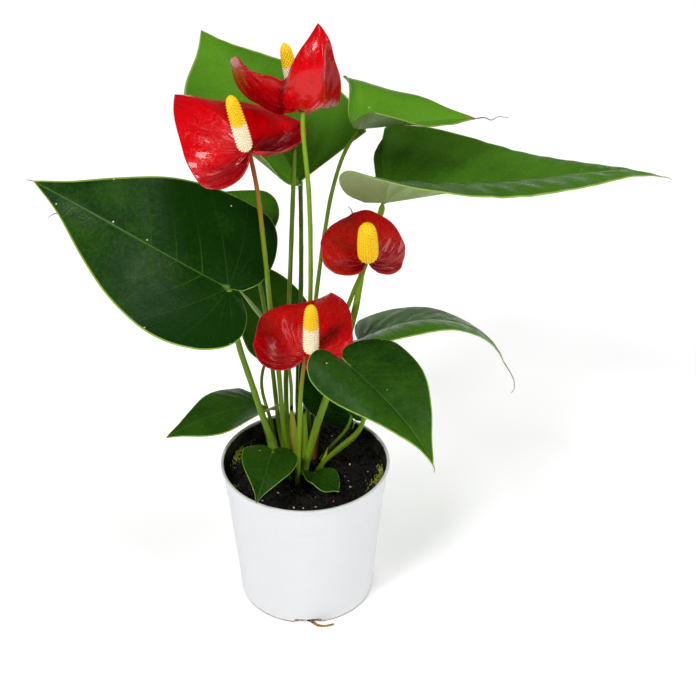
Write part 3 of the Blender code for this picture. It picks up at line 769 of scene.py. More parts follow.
def sweep(bm, path, radii, sides):
    """A round tube along a path, with closed ends. It returns the rings of vertices from first to last."""
    ways = [(b - a).normalized() for a, b in zip(path, path[1:])]
    tangents = [ways[0]] + [(a + b).normalized() for a, b in zip(ways, ways[1:])] + [ways[-1]]
    spin = tangents[0].to_track_quat("Z", "Y").to_matrix()
    place = Matrix.Translation(path[0]) @ spin.to_4x4()
    start = bmesh.ops.create_circle(
        bm, cap_ends=False, segments=sides, radius=radii[0], matrix=place)["verts"]
    rings = [start]
    edges = list({edge for vert in start for edge in vert.link_edges})
    first_edges = edges
    for i in range(1, len(path)):
        made = bmesh.ops.extrude_edge_only(bm, edges=edges)["geom"]
        ring = [part for part in made if isinstance(part, bmesh.types.BMVert)]
        edges = [part for part in made if isinstance(part, bmesh.types.BMEdge)
                 and part.verts[0] in ring and part.verts[1] in ring]
        spin = tangents[i - 1].rotation_difference(tangents[i]).to_matrix() @ spin
        here = Matrix.Translation(path[i]) @ spin.to_4x4() @ Matrix.Scale(radii[i], 4)
        before = place @ Matrix.Scale(radii[i - 1], 4)
        bmesh.ops.transform(bm, matrix=here @ before.inverted(), verts=ring)
        place = Matrix.Translation(path[i]) @ spin.to_4x4()
        rings.append(ring)
    bmesh.ops.contextual_create(bm, geom=first_edges)
    bmesh.ops.contextual_create(bm, geom=edges)
    bmesh.ops.recalc_face_normals(bm, faces=bm.faces)
    return rings


STALK_SIDES = 14
KNUCKLE_REACH = 7 * MM


def draw_stalk(node, piece_name, tint=0.0, blush=0.0, top=None, knuckle=0.0):
    """A round stalk along its solid's middle, from inside the soil to the blade it carries.

    Knuckle is how much thicker it is just under its blade, as a share.
    """
    path, radii = centreline(node)
    lean = (path[0] - path[2]).normalized()
    path.insert(0, path[0] + Vector((lean.x * 0.3, lean.y * 0.3, -1)) * 3 * MM)
    radii.insert(0, radii[0])
    if top is not None:
        path.append(path[-1].lerp(top, 0.9))
        radii.append(radii[-1])
    bm = bmesh.new()
    layers = attribute_layers(bm, ("tint", "blush", "dry"))
    length = path[-1].z - path[0].z
    if knuckle:
        radii = [radius * (1 + knuckle * math.exp(-((place.z - path[-1].z) / KNUCKLE_REACH) ** 2))
                 for place, radius in zip(path, radii)]
    rings = sweep(bm, path, radii, STALK_SIDES)
    for point, ring in zip(path, rings):
        share = (point.z - path[0].z) / length
        for vert in ring:
            # painted shade: each stalk darkens over its lowest 15%, near the soil and the other stalks
            vert[layers["tint"]] = tint + 0.25 * max(0.0, 0.15 - share)
            vert[layers["blush"]] = blush * max(0.0, min(1.0, (share - 0.68) / 0.3))
    finish_piece(bm, piece_name, [shared("anthurium_stalk_skin", stalk_material)], node)


VIEW_TILT = math.radians(32.65)  # how far the camera looks down
# Those directions, which two blades are shaped in: away from the camera, and up across its view.
VIEW_BACK = Vector((0, math.cos(VIEW_TILT), -math.sin(VIEW_TILT)))
VIEW_UP = Vector((0, math.sin(VIEW_TILT), math.cos(VIEW_TILT)))

NEVER = 2  # past the tip, so nothing is dry
# How each leaf looks: how young and bright it is, from 0 to 1, how much painted light brightens its tip
# and painted shade darkens its lobes, how much painted shade darkens its right half, from where its tip is
# dry, in blade lengths, and how deep its quilting is.
LEAF_LOOKS = {
    "left_large": (0.0, 0.14, 0.0, NEVER, 0.7),
    "left_behind": (0.42, 0.1, 0.0, 0.985, 1),
    "back_low": (0.3, 0.1, 0.1, NEVER, 1),
    "top_back": (0.8, 0.1, 0.22, NEVER, 2),
    "top_right": (1.0, -0.1, 0.0, 0.93, 0.6),
    "right_large": (0.5, 0.5, 0.0, NEVER, 4),
    "right_drooping": (0.62, 0.25, 0.0, 0.965, 1),
    "front_right": (0.1, 0.2, -0.08, NEVER, 1),
    "low_left": (0.22, 0.1, 0.0, 0.985, 1),
    "front_small": (0.12, 0.0, 0.0, NEVER, 0.5),
    "seedling": (0.12, 0.0, 0.0, NEVER, 0.5),
    "centre_low": (0.0, 0.0, 0.0, NEVER, 1),
}
# How deep a spathe's red is, how red its stalk's top is, how far up its spadix is still cream, how knobbly
# the spadix is, and how much of its solid's length it has.
FLOWER_LOOKS = {
    "left": (0.0, 1.0, 0.5, 1.0, 1.0),
    "top": (0.0, 0.0, 0.62, 1.0, 1.0),
    "right": (0.5, 0.15, -0.4, 1.4, 0.88),
    "front": (0.22, 0.8, 0.55, 1.0, 1.0),
}
# How dark a leaf stalk is, where it isn't as dark as most.
PETIOLE_SHADE = {"top_back": 0.5, "front_right": 0.3, "centre_low": 0.4, "right_large": 0.1}
USUAL_SHADE = 0.2


def even_curve(points, steps):
    """The same curve with its points the same distance apart."""
    lengths = [0.0]
    for a, b in zip(points, points[1:]):
        lengths.append(lengths[-1] + (b - a).length)
    found = []
    i = 0
    for step in range(steps + 1):
        wanted = lengths[-1] * step / steps
        while i < len(points) - 2 and lengths[i + 1] < wanted:
            i += 1
        share = (wanted - lengths[i]) / max(1e-9, lengths[i + 1] - lengths[i])
        found.append(points[i].lerp(points[i + 1], min(1.0, share)))
    return found


BASE_TO_RIM = 0.804
LEDGE_TO_HEIGHT = 0.795
DRAINS = 4  # notches in the foot ring, and as many holes in the floor
NOTCH = (9 * MM, 17 * MM, 7.2 * MM)  # through the ring, along it, and twice its height
DRAIN_HOLE = 3.4 * MM  # radius
DRAIN_HOLE_OUT = 36 * MM  # from the pot's middle
UNDERSIDE = 5.2 * MM  # everything under the raised floor is lower than this
SOIL_SIDE = 60 * MM  # the inner wall over this height gets the painted shade


class AnthuriumPot(bpy.types.Operator):
    """Turn the thin nursery pot with its lip, ledge, raised floor, drain notches and drain holes"""

    bl_idname = "anthurium.pot"
    bl_label = "Pot"

    def drain_cutters(self, base):
        """The shapes that are cut out of the pot: notches with rounded upper corners, and round holes."""
        cut = bmesh.new()
        for i in range(DRAINS):
            turn = Matrix.Rotation(math.radians(360 / DRAINS * i - 90), 4, "Z")
            notch = bmesh.ops.create_cube(
                cut, size=1, matrix=turn @ Matrix.Translation((base, 0, 0)) @ Matrix.Diagonal((*NOTCH, 1)))
            upper = [edge for vert in notch["verts"] for edge in vert.link_edges
                     if abs((edge.verts[0].co - edge.verts[1].co).to_2d().length - NOTCH[0]) < 1e-5
                     and edge.verts[0].co.z > 0]
            bmesh.ops.bevel(cut, geom=list(set(upper)), offset=1.2 * MM, segments=3, profile=0.5,
                            affect="EDGES", material=-1)
            bmesh.ops.create_cone(
                cut, cap_ends=True, segments=24, radius1=DRAIN_HOLE, radius2=DRAIN_HOLE, depth=6 * MM,
                matrix=turn @ Matrix.Translation((DRAIN_HOLE_OUT, 0, 5 * MM)))
        return drawn_mesh(cut, "drain_cutters")

    def execute(self, context):
        low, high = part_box("pot")
        rim, height, wall = high[0], high[2], sizes().pot_wall
        base, ledge = rim * BASE_TO_RIM, height * LEDGE_TO_HEIGHT
        floor = 30 * MM  # radius of the flat middle
        step, lip = 0.5 * MM, 0.9 * MM
        slope = (rim - lip - step - base) / height
        outer = [
            (rim - 0.75 * MM, height), (rim - 0.3 * MM, height - 0.12 * MM),
            (rim - 0.05 * MM, height - 0.5 * MM), (rim, height - 0.9 * MM),
            (rim - 0.03 * MM, height - 1.8 * MM), (rim - 0.25 * MM, height - 2.2 * MM),
            (base + slope * (height - 3 * MM) + step, height - 2.5 * MM),
            (base + slope * ledge + step + 0.02 * MM, ledge + 0.7 * MM),
            (base + slope * ledge + step - 0.15 * MM, ledge + 0.2 * MM),
            (base + slope * ledge, ledge - 0.3 * MM), (base + slope * (ledge - 2 * MM), ledge - 2 * MM),
            (base + slope * 6 * MM, 6 * MM), (base + slope * 2 * MM, 1.6 * MM), (base - 0.1 * MM, 0.5 * MM),
            (base - 0.5 * MM, 0.05 * MM), (base - wall - 0.3 * MM, 0),
        ]
        under = [
            (base - wall - 0.5 * MM, 0.4 * MM), (base - wall - 0.6 * MM, 4.6 * MM),
            (base - wall - 1.2 * MM, 5 * MM), (floor + 3.4 * MM, 5 * MM), (floor + 2.6 * MM, 4.6 * MM),
            (floor + 0.3 * MM, 0.2 * MM), (floor, 0), (0, 0),
        ]
        inner = [
            (0, wall), (floor - 0.8 * MM, wall), (floor + 2.2 * MM, 5 * MM + wall),
            (base - wall - 0.4 * MM, 5 * MM + wall), (base + slope * (ledge - 1 * MM) - wall, ledge - 1 * MM),
            (base + slope * ledge + step - wall, ledge + 0.5 * MM),
            (base + slope * height + step - wall, height - 1 * MM), (rim - 1.75 * MM, height - 0.25 * MM),
            (rim - 1.3 * MM, height),
        ]
        bm = bmesh.new()
        turn_profile(bm, outer + under + inner, 144, closed=True)
        bmesh.ops.recalc_face_normals(bm, faces=bm.faces)
        pot = finish_piece(bm, "nursery_pot", [shared("white_polypropylene", pot_material)], "pot")
        cutter = put_in_scene("drain_cutters", self.drain_cutters(base))
        hole = pot.modifiers.new("Drains", "BOOLEAN")
        hole.object = cutter
        hole.operation = "DIFFERENCE"
        graph = context.evaluated_depsgraph_get()
        opened = bpy.data.meshes.new_from_object(pot.evaluated_get(graph))
        pot.modifiers.clear()
        pot.data = opened
        bpy.data.objects.remove(cutter)
        opened.materials.append(shared("shade_painted_wall", shade_painted_wall_material))
        # painted shade: faces of the inner wall over SOIL_SIDE and of the underside take the dark wall finish
        for face in opened.polygons:
            outwards = face.normal.dot(Vector((face.center.x, face.center.y, 0)).normalized())
            inside = outwards < -0.5 and face.center.z > SOIL_SIDE
            under = outwards < 0.5 and face.center.z < UNDERSIDE and face.center.to_2d().length > floor
            if inside or under:
                face.material_index = 1
        opened.shade_smooth()
        opened.set_sharp_from_angle(angle=math.radians(38))
        return {"FINISHED"}


def soil_height(x, y):
    """Height of the lumpy soil over its level, at a place inside the pot."""
    lumps = sizes().peat_lumps
    broad = noise.noise(Vector((x / 0.022, y / 0.022, 3.1))) * lumps
    coarse = noise.noise(Vector((x / 0.0065, y / 0.0065, 7.7))) * lumps * 0.7
    fine = abs(noise.noise(Vector((x / 0.0024, y / 0.0024, 1.3)))) * lumps * 0.8
    return broad * 0.5 + coarse + fine - 0.4 * MM


# Patches of moss along the wall: bearing and spread in degrees, how far they come inwards in mm, and tufts.
MOSS_PATCHES = [(-8, 13, 4, 150), (-18, 8, 7, 60), (152, 16, 4, 110), (268, 10, 2.5, 50), (202, 7, 3, 40)]


class AnthuriumSoil(bpy.types.Operator):
    """Fill the pot with lumpy peat, and scatter crumbs, fibres, perlite grains and moss over it"""

    bl_idname = "anthurium.soil"
    bl_label = "Soil"

    def scatter(self, count, seed, reach):
        """Places all over the soil, with the dice that drew them."""
        dice = random.Random(seed)
        for _ in range(count):
            away = reach * math.sqrt(dice.uniform(0.0, 1.0))
            angle = dice.uniform(0, 2 * math.pi)
            yield dice, away * math.cos(angle), away * math.sin(angle)

    def grains(self, bm, places, level, size, subdivisions, rough):
        """A rough, flattened grain at each place."""
        for dice, x, y in places:
            radius = size * dice.uniform(0.5, 1.5)
            turn = Matrix.Rotation(
                dice.uniform(0, 6.28), 4, Vector((dice.random(), dice.random(), 1)).normalized())
            shape = Matrix.Diagonal(
                (radius * dice.uniform(0.7, 1.3), radius, radius * dice.uniform(0.55, 0.9), 1))
            spot = Matrix.Translation((x, y, level + soil_height(x, y) + radius * 0.25))
            grain = bmesh.ops.create_icosphere(
                bm, subdivisions=subdivisions, radius=1, matrix=spot @ turn @ shape)
            for vert in grain["verts"]:
                push = noise.noise(vert.co / (radius * 0.9)) * rough
                vert.co += (vert.co - spot.translation) * push

    def execute(self, context):
        low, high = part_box("soil")
        level = high[2] - 1.6 * MM
        reach = high[0] - 0.25 * MM
        bm = bmesh.new()
        rings, bottom = 62, 6.6 * MM
        top = [(reach * i / rings, level) for i in range(rings + 1)]
        turn_profile(bm, top + [(reach - 0.6 * MM, level - 9 * MM), (reach * 0.86, bottom), (0, bottom)], 150)
        bmesh.ops.recalc_face_normals(bm, faces=bm.faces)
        for vert in bm.verts:
            if vert.co.z > level - 1 * MM:
                away = vert.co.to_2d().length / reach
                vert.co.z += soil_height(vert.co.x, vert.co.y) - 1.2 * MM * max(0, away - 0.85) / 0.15
        peat = shared("moist_peat", peat_material)
        finish_piece(bm, "peat_ball", [peat], "soil")

        bm = bmesh.new()
        self.grains(bm, self.scatter(560, 11, reach - 2 * MM), level, 1.6 * MM, 1, 0.5)
        dice = random.Random(3)
        for _ in range(64):  # dark crumbs behind the front drain notch: painted shade for the floor under the pot
            spot = Matrix.Translation((dice.uniform(-7.5, 6) * MM, dice.uniform(-41.0, -37.0) * MM,
                                       dice.uniform(1.3, 3.0) * MM))
            bmesh.ops.create_icosphere(bm, subdivisions=1, radius=dice.uniform(0.7, 1.2) * MM, matrix=spot)
        finish_piece(bm, "peat_crumbs_and_notch_shade", [peat], smooth=False)

        bm = bmesh.new()
        self.grains(bm, self.scatter(60, 5, reach - 2 * MM), level + 0.3 * MM, sizes().perlite_grain, 2, 0.35)
        finish_piece(bm, "perlite_grains", [dull_material("expanded_perlite")])

        bm = bmesh.new()
        for dice, x, y in self.scatter(46, 23, reach - 4 * MM):
            lean = Matrix.Rotation(dice.uniform(0, 6.28), 4, "Z") @ Matrix.Rotation(
                math.radians(dice.uniform(70, 96)), 4, "Y")
            spot = Matrix.Translation((x, y, level + soil_height(x, y) + 0.8 * MM))
            bmesh.ops.create_cone(bm, cap_ends=True, segments=5, radius1=0.22 * MM, radius2=0.08 * MM,
                                  depth=dice.uniform(4, 9) * MM, matrix=spot @ lean)
        finish_piece(bm, "peat_fibres", [dull_material("dry_fibre")])

        bm = bmesh.new()
        dice = random.Random(31)
        for bearing, spread, depth, tufts in MOSS_PATCHES:
            for _ in range(tufts):
                angle = math.radians(bearing + dice.gauss(0, spread / 2))
                away = reach - 0.6 * MM - abs(dice.gauss(0, depth / 2)) * MM
                x, y = away * math.cos(angle), away * math.sin(angle)
                lean = Matrix.Rotation(math.radians(dice.uniform(-35, 35)), 4, "X") @ Matrix.Rotation(
                    math.radians(dice.uniform(-35, 35)), 4, "Y")
                spot = Matrix.Translation((x, y, level + soil_height(x, y) + 0.6 * MM))
                bmesh.ops.create_cone(bm, cap_ends=True, segments=5, radius1=0.55 * MM, radius2=0.05 * MM,
                                      depth=dice.uniform(1.8, 3.2) * MM, matrix=spot @ lean)
        finish_piece(bm, "moss_tufts", [dull_material("cushion_moss")])
        return {"FINISHED"}


class AnthuriumLeaves(bpy.types.Operator):
    """Shape every leaf blade: quilted between its veins, waxy above, pale below, with a thin pale edge"""

    bl_idname = "anthurium.leaves"
    bl_label = "Leaves"

    def round_lobe(self, bm, foot):
        """Rounds the far corner of the longest leaf, where its back lobe stands up."""
        size = 20 * MM
        middle = Vector((-7 * MM + size, 45 * MM - size))
        for vert in bm.verts:
            away = vert.co - foot
            inwards = min(1.0, (middle.x - away.x) / size)
            upwards = min(1.0, (away.dot(VIEW_UP) - middle.y) / size)
            if inwards > 0 and upwards > 0:
                vert.co.x += inwards * size * (1 - math.sqrt(1 - upwards**2 / 2))
                vert.co -= VIEW_UP * upwards * size * (1 - math.sqrt(1 - inwards**2 / 2))

    def execute(self, context):
        finishes = [shared("anthurium_leaf_cuticle", leaf_upper_material),
                    shared("anthurium_leaf_underside", leaf_under_material),
                    shared("anthurium_leaf_margin", margin_material)]
        for number, (name, blade) in enumerate(LEAVES.items()):
            tint, painted_tip_light, painted_shade_half, dry_from, quilting = LEAF_LOOKS[name]
            spokes, rings = (128, 34) if blade.length > 60 else (72, 18)
            bm = draw_blade(blade, LEAF_OUTLINE, spokes, rings, leaf_vein, sizes().leaf_quilt * quilting,
                            number * 3.7, tint, dry_from)
            seat_on(bm, f"leaf_{name}")
            tint_layer, along, half = (bm.verts.layers.float[each] for each in ("tint", "along", "half"))
            for vert in bm.verts:
                # painted light towards the tip, painted shade on the lobes and on the right half
                vert[tint_layer] += painted_tip_light * (vert[along] - 0.35) - painted_shade_half * max(0.0, -vert[half])
            if name == "right_large":
                self.round_lobe(bm, Vector(blade.at) * MM)
                for vert in bm.verts:
                    vert.co.z -= 5 * MM * max(0.0, (vert[along] - 0.8) / 0.2) ** 2
            piece = finish_piece(bm, f"leaf_blade_{name}", finishes, f"leaf_{name}")
            thicken(piece, sizes().blade_thickness)
        return {"FINISHED"}


# The dried drip tips that go on past a blade: which blade, the way it goes in mm, and its radius in mm.
DRIP_TIPS = {
    "leaf_blade_right_drooping": ([(3, -1, -5), (6, -2, -11), (6.5, -2, -18), (4.5, -2, -21)], 0.4),
    "leaf_blade_top_right": ([(5, 0, 0.4), (9, 0, -1.2), (13, 0, 0.9), (19, 0, 0.2)], 0.4),
    "leaf_blade_left_behind": ([(-6, -1, 1.5), (-11, -1, -1.5)], 0.45),
    "leaf_blade_right_large": ([(3, 0, -0.6), (5.5, 0, -2)], 0.35),
    "leaf_blade_front_right": ([(0.6, 0, -2.5), (0.4, 0, -5)], 0.35),
    "leaf_blade_left_large": ([(-2.5, 0, 0.5), (-4, 0, 0.2)], 0.35),
    "flower_spathe_right": ([(-0.8, 0, 2.5), (-2.6, 0, 4.4)], 0.4),
}


def blade_tip(piece):
    """Where the drawn blade ends: its farthest point from the stalk along the midrib."""
    tips = piece.data.attributes["along"].data
    place = max(range(len(tips)), key=lambda i: tips[i].value)
    return piece.data.vertices[place].co.copy()


FLORET_ROW = 2.2 * MM  # coarser than a real spadix's, so that its florets show


class AnthuriumFlowers(bpy.types.Operator):
    """Shape every flower: a puckered waxy spathe and a spadix set with rows of tiny florets"""

    bl_idname = "anthurium.flowers"
    bl_label = "Flowers"

    def draw_spadix(self, name, spadix, cream, knobbly, share):
        foot, tip = Vector(spadix.foot) * MM, Vector(spadix.tip) * MM
        axis = (tip - foot) * share
        length, radius = axis.length, spadix.diameter / 2 * MM
        side = [(1.0, 0.0), (0.985, 0.26), (0.955, 0.5), (0.9, 0.7), (0.8, 0.83), (0.6, 0.93), (0.35, 0.985),
                (0.15, 1.0), (0.06, 0.93), (0.015, 0.72), (0.0, 0.5)]
        curve = even_curve(smooth_curve([(wide * radius, 0, high * length) for high, wide in side], 400), 150)
        bm = bmesh.new()
        layers = attribute_layers(bm, ("ripe", "raised"))
        turn_profile(bm, [(max(0.0, p.x), p.z) for p in curve], 100)
        bmesh.ops.contextual_create(bm, geom=[edge for edge in bm.edges if edge.is_boundary])
        bmesh.ops.recalc_face_normals(bm, faces=bm.faces)
        bm.normal_update()
        place = Matrix.Translation(foot) @ axis.to_track_quat("Z", "Y").to_matrix().to_4x4()
        moved = []
        for vert in bm.verts:
            height = vert.co.z / length
            angle = math.atan2(vert.co.y, vert.co.x)
            rows = math.pi * vert.co.z / FLORET_ROW
            florets = math.cos(6 * angle + rows) * math.cos(6 * angle - rows)
            inside = min(1.0, 5 * (1 - height) + 0.2)
            raised = abs(florets) ** 0.7
            vert[layers["raised"]] = raised
            ripe = 0.5 + (height - cream) / 0.25
            if name == "front":
                ripe = max(ripe, 0.8 - height / 0.14)
            vert[layers["ripe"]] = max(0.0, min(1.0, ripe))
            moved.append((vert, vert.normal * (raised - 0.4) * sizes().spadix_bump * knobbly * inside))
        for vert, step in moved:
            vert.co += step
        bmesh.ops.transform(bm, matrix=place, verts=bm.verts)
        florets = shared("anthurium_spadix_florets", spadix_material)
        finish_piece(bm, f"flower_spadix_{name}", [florets], f"spadix_{name}")

    def shade_lobe(self, bm):
        """Curls the left flower's right lobe up along its lower rim and paints shade into that hollow; it
        also deepens the red at the foot of the left half.
        """
        tint, along, half, ring = (bm.verts.layers.float[each] for each in ("tint", "along", "half", "ring"))
        bm.normal_update()
        moved = []
        for vert in bm.verts:
            share = max(0.0, -vert[half]) * step_up((0.1 - vert[along]) / 0.12)
            # painted shade in the curled hollow of the right lobe, kept off its rim
            vert[tint] += 0.75 * share * (1 - step_up((vert[ring] - 0.9) / 0.1))
            vert[tint] += 0.4 * max(0.0, vert[half]) * step_up((0.2 - vert[along]) / 0.3)
            moved.append((vert, vert.normal * share * (3.2 * vert[ring] ** 4 - 1.6 * vert[ring] ** 2) * MM))
        for vert, step in moved:
            vert.co += step

    def fold_top(self, bm, foot):
        """Stands the upright tip of the top flower in front, and sets its two side lobes back behind it."""
        tint = bm.verts.layers.float["tint"]
        for vert in bm.verts:
            away = vert.co - foot
            across, height = away.x / MM, away.dot(VIEW_UP) / MM
            left = step_up((-10.5 + 0.23 * height - across) / 1.2)
            right = step_up((across - 10.6 - 0.03 * height) / 1.6) * (1 - step_up((height - 20) / 10))
            middle = math.cos(math.pi / 2 * min(1.0, abs(across - 3) / 13))
            crease = math.exp(-(((-12.5 + 0.23 * height - across) / 2.2) ** 2))
            # painted shade on the two set-back lobes and along the left crease
            vert[tint] += 0.4 * left + 0.6 * right + 0.6 * crease
            notch = math.exp(-(((across + 9) / 5) ** 2)) * step_up((height - 6) / 9)
            vert.co -= VIEW_UP * 6 * notch * MM
            vert.co += VIEW_BACK * (7 * left + 9 * right - 3.5 * middle * (1 - left) * (1 - right)) * MM

    def execute(self, context):
        finishes = [shared("anthurium_spathe_wax", spathe_upper_material),
                    shared("anthurium_spathe_back", spathe_under_material),
                    shared("anthurium_spathe_edge", spathe_edge_material)]
        for number, (name, blade) in enumerate(SPATHES.items()):
            depth, blush, cream, knobbly, share = FLOWER_LOOKS[name]
            bm = draw_blade(blade, SPATHE_OUTLINE, 128, 40, spathe_vein, sizes().spathe_pucker,
                            40 + number * 5.3, depth, 0.965 if name == "right" else NEVER)
            seat_on(bm, f"spathe_{name}")
            coats = finishes
            if name == "left":
                self.shade_lobe(bm)
            if name == "top":
                self.fold_top(bm, Vector(blade.at) * MM)
                coats = [finishes[0], finishes[0], finishes[2]]
            piece = finish_piece(bm, f"flower_spathe_{name}", coats, f"spathe_{name}")
            thicken(piece, sizes().blade_thickness * 1.15)
            self.draw_spadix(name, SPADICES[name], cream, knobbly, share)
        return {"FINISHED"}


class AnthuriumStalks(bpy.types.Operator):
    """Draw every leaf and flower stalk along the middle of its solid, from the soil to its blade"""

    bl_idname = "anthurium.stalks"
    bl_label = "Stalks"

    def seat(self, blade):
        """Where a stalk ends, just under the foot of its blade."""
        return Vector(blade.at) * MM - blade_turn(blade) @ Vector((0, 0, 1)) * 0.4 * MM

    def execute(self, context):
        for name, blade in LEAVES.items():
            draw_stalk(f"petiole_{name}", f"leaf_stalk_{name}", tint=PETIOLE_SHADE.get(name, USUAL_SHADE),
                       top=self.seat(blade), knuckle=0.16)
        for name, blade in SPATHES.items():
            draw_stalk(f"peduncle_{name}", f"flower_stalk_{name}", tint=-0.2 if name == "top" else 0.1,
                       blush=FLOWER_LOOKS[name][1], top=self.seat(blade))
        return {"FINISHED"}


# Thin rootlets in the front drain notch: how far along it each is, its height and its radius, in mm.
ROOTLETS = [(-7.5, 2.9, 0.5), (-3.2, 3.1, 0.7), (4.6, 3.0, 0.55), (7.6, 2.2, 0.45)]
# The way of each, from there: along the notch, its place front to back, and how far it has dropped, in mm.
ROOTLET_WAY = [(-4, -39.6, 0), (-1, -41.2, 0.7), (2, -40.9, 0.2), (5, -39.9, 0.9)]


class AnthuriumShoots(bpy.types.Operator):
    """Draw the bud, the rolled leaf, the shoot, the sheaths, the dry tips and the creeping root"""

    bl_idname = "anthurium.shoots"
    bl_label = "Shoots and sheaths"

    def spindle(self, node, piece_name, finish, slot, fullest):
        """A closed bud or a rolled blade: thin at both ends and fullest in between."""
        path, radii = centreline(node, 1 * MM)
        bm = bmesh.new()
        layers = attribute_layers(bm, ("tint", "blush", "dry", "vein", "across", "ring"))
        widest = max(radii)
        shaped = []
        for i in range(len(path)):
            share = i / (len(path) - 1)
            if share < fullest:
                rise = math.sin(math.pi * min(1.0, share / (2 * fullest)) ** 0.8)
            else:
                rise = math.cos(math.pi / 2 * (share - fullest) / (1 - fullest))
            shaped.append(max(0.12, rise) * widest)
        rings = sweep(bm, path, shaped, 16)
        for ring in rings:
            for vert in ring:
                vert[layers["ring"]] = 0.5
                vert[layers["across"]] = 0.2
                vert[layers["vein"]] = 0.5
        finish_piece(bm, piece_name, [finish], node)

    def draw_sheath(self, name, sheath):
        """A thin ribbed wrap, open along one side, that narrows from the soil to a ragged tip."""
        foot, tip = Vector(sheath.foot) * MM, Vector(sheath.tip) * MM
        dry = 1.0 if name.endswith("dry") else 0.0
        bm = bmesh.new()
        bmesh.ops.create_grid(bm, x_segments=22, y_segments=34, size=1)
        layers = attribute_layers(bm, ("tint", "dry", "blush"))
        for vert in bm.verts:
            share = (vert.co.y + 1) / 2
            ragged = noise.noise(Vector((vert.co.x * 3, sheath.radius * 7, 0))) * 0.06 * share
            radius = sheath.radius * MM * (1.2 - 0.4 * share) * (1 + 0.03 * math.cos(vert.co.x * 22))
            wrap = math.radians(80) * (1 - 0.82 * share**1.5)
            angle = math.radians(sheath.opening + 180) + vert.co.x * wrap
            vert[layers["tint"]] = 1.0 if name.endswith("green") else 0.0
            vert[layers["dry"]] = max(dry, min(1.0, max(0.0, (share - 0.9) / 0.05)))
            vert[layers["blush"]] = 1.0 if share > 0.93 and not dry else 0.0
            outwards = Vector((math.cos(angle), math.sin(angle), 0))
            vert.co = foot.lerp(tip, min(1.0, share + ragged)) + outwards * radius
        bmesh.ops.recalc_face_normals(bm, faces=bm.faces)
        paper = shared("anthurium_sheath", sheath_material)
        piece = finish_piece(
            bm, name.replace("cataphyll", "sheath"), [paper], name)
        shell = piece.modifiers.new("Thickness", "SOLIDIFY")
        shell.thickness = 0.35 * MM
        shell.offset = 0

    def execute(self, context):
        waxy = shared("anthurium_spathe_back", spathe_under_material)
        pale = shared("anthurium_leaf_underside", leaf_under_material)
        paper = shared("anthurium_sheath", sheath_material)
        draw_stalk("bud_stalk", "bud_stem", tint=0.3)
        draw_stalk("young_leaf_stalk", "rolled_leaf_stalk", tint=-0.15)
        self.spindle("closed_bud", "flower_bud", waxy, "spathe", 0.35)
        self.spindle("young_leaf", "rolled_leaf", pale, "sheath", 0.3)
        self.spindle("shoot", "pale_shoot", paper, "sheath", 0.2)
        for name, each in SHEATHS.items():
            self.draw_sheath(name, each)
        bm = bmesh.new()
        for name, (way, radius) in DRIP_TIPS.items():
            tip = blade_tip(bpy.data.objects[name])
            path = smooth_curve([tip] + [tip + Vector(step) * MM for step in way], 14)
            sweep(bm, path, [radius * MM * (1 - 0.6 * i / 14) for i in range(15)], 7)
        finish_piece(bm, "drip_tips", [dull_material("dry_drip_tip")])
        bm = bmesh.new()
        for shift, height, size in ROOTLETS:
            rootlet = [Vector((shift + along, away, height - drop)) * MM for along, away, drop in ROOTLET_WAY]
            sweep(bm, smooth_curve(rootlet, 14), [size * MM] * 15, 8)
        path = smooth_curve([Vector(p) * MM for p in DRAIN_ROOT.way], 40)
        radii = [DRAIN_ROOT.foot_radius * MM * (1 - 0.45 * i / 40) * (1 + 0.1 * math.sin(i * 1.9))
                 for i in range(41)]
        sweep(bm, path, radii, 12)
        finish_piece(bm, "creeping_root", [dull_material("root_skin")], "drain_root")
        return {"FINISHED"}


CAMERA_LENS = 82.76  # mm
CAMERA_YAW = math.radians(-1.9)
# The soft lights: where each is, what it faces, its diameter, all in metres, and its power in watts.
SOFTBOXES = {
    "key_softbox": ((-1.5, -1.7, 2.4), (0, 0, 0.2), 1.0, 64.0),
    "top_softbox": ((0.4, 0.1, 2.8), (0, 0, 0.25), 1.3, 22.0),
    "fill_softbox": ((1.8, -1.2, 1.3), (0, 0, 0.2), 1.0, 19.0),
}


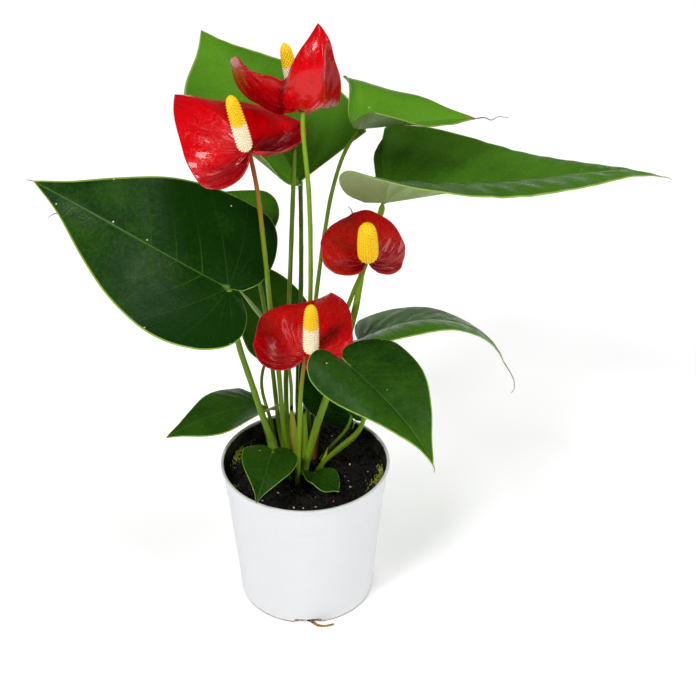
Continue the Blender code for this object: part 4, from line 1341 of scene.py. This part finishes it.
class AnthuriumStage(bpy.types.Operator):
    """Set up the plain floor, the soft studio lights and the camera"""

    bl_idname = "anthurium.stage"
    bl_label = "Stage"

    def add_light(self, name, place, aim, size, power):
        data = bpy.data.lights.new(name, "AREA")
        data.shape = "DISK"
        data.size = size
        data.energy = power
        lamp = put_in_scene(name, data)
        lamp.location = place
        lamp.rotation_euler = (Vector(aim) - Vector(place)).to_track_quat("-Z", "Y").to_euler()

    def execute(self, context):
        bm = bmesh.new()
        bmesh.ops.create_circle(bm, cap_ends=True, segments=96, radius=6)
        floor = put_in_scene("studio_floor", drawn_mesh(bm, "studio_floor"))
        floor.location.z = -0.05 * MM
        made, tree, shader = new_material("backlit_white_acrylic", Roughness=0.85, IOR=1.4)
        shader.inputs["Base Color"].default_value = rgba(linear("#F4F4F4"))
        shader.inputs["Emission Color"].default_value = rgba(linear("#FFFFFF"))
        away = add_node(tree, "VectorMath", {0: own_place(tree)}, operation="LENGTH").outputs["Value"]
        tree.links.new(ramp(tree, away, 0.8, 3.2, 0.46, 0.8), shader.inputs["Emission Strength"])
        floor.data.materials.append(made)
        world = bpy.data.worlds.new("soft_studio")
        context.scene.world = world
        world.use_nodes = True
        tree = world.node_tree
        room = tree.nodes["Background"]
        room.inputs["Color"].default_value = rgba(linear("#FFFFFF"))
        seen = add_node(tree, "LightPath").outputs["Is Camera Ray"]
        tree.links.new(ramp(tree, seen, 0.0, 1.0, 0.07, 0.86), room.inputs["Strength"])
        for name, softbox in SOFTBOXES.items():
            self.add_light(name, *softbox)
        camera = put_in_scene("view", bpy.data.cameras.new("view"))
        camera.data.sensor_width = 36
        camera.data.lens = CAMERA_LENS
        camera.location = (0, -sizes().camera_distance, sizes().camera_height)
        camera.rotation_euler = (math.pi / 2 - VIEW_TILT, 0, CAMERA_YAW)
        context.scene.camera = camera
        context.scene.view_settings.view_transform = "Standard"
        return {"FINISHED"}


class AnthuriumPanel(bpy.types.Panel):
    """Lists the steps, the sizes and the colours in the sidebar"""

    bl_idname = "VIEW3D_PT_anthurium"
    bl_label = "Potted Anthurium"
    bl_space_type = "VIEW_3D"
    bl_region_type = "UI"
    bl_category = "Anthurium"

    def draw(self, context):
        for step in STEPS:
            self.layout.operator(step.bl_idname)
        for group in (context.scene.anthurium_sizes, context.scene.anthurium_colours):
            box = self.layout.box()
            for name in group.bl_rna.properties.keys():
                if name not in ("name", "rna_type"):
                    box.prop(group, name)


STEPS = (AnthuriumPot, AnthuriumSoil, AnthuriumStalks, AnthuriumLeaves, AnthuriumFlowers, AnthuriumShoots,
         AnthuriumStage)
CLASSES = (AnthuriumSizes, AnthuriumColours) + STEPS + (AnthuriumPanel,)


def register():
    for each in CLASSES:
        bpy.utils.register_class(each)
    bpy.types.Scene.anthurium_sizes = bpy.props.PointerProperty(type=AnthuriumSizes)
    bpy.types.Scene.anthurium_colours = bpy.props.PointerProperty(type=AnthuriumColours)


def unregister():
    del bpy.types.Scene.anthurium_colours
    del bpy.types.Scene.anthurium_sizes
    for each in reversed(CLASSES):
        bpy.utils.unregister_class(each)


def main():
    register()
    bpy.ops.anthurium.stage()
    bpy.ops.anthurium.pot()
    bpy.ops.anthurium.soil()
    bpy.ops.anthurium.stalks()
    bpy.ops.anthurium.leaves()
    bpy.ops.anthurium.flowers()
    bpy.ops.anthurium.shoots()
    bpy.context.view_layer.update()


if __name__ == "__main__":
    main()
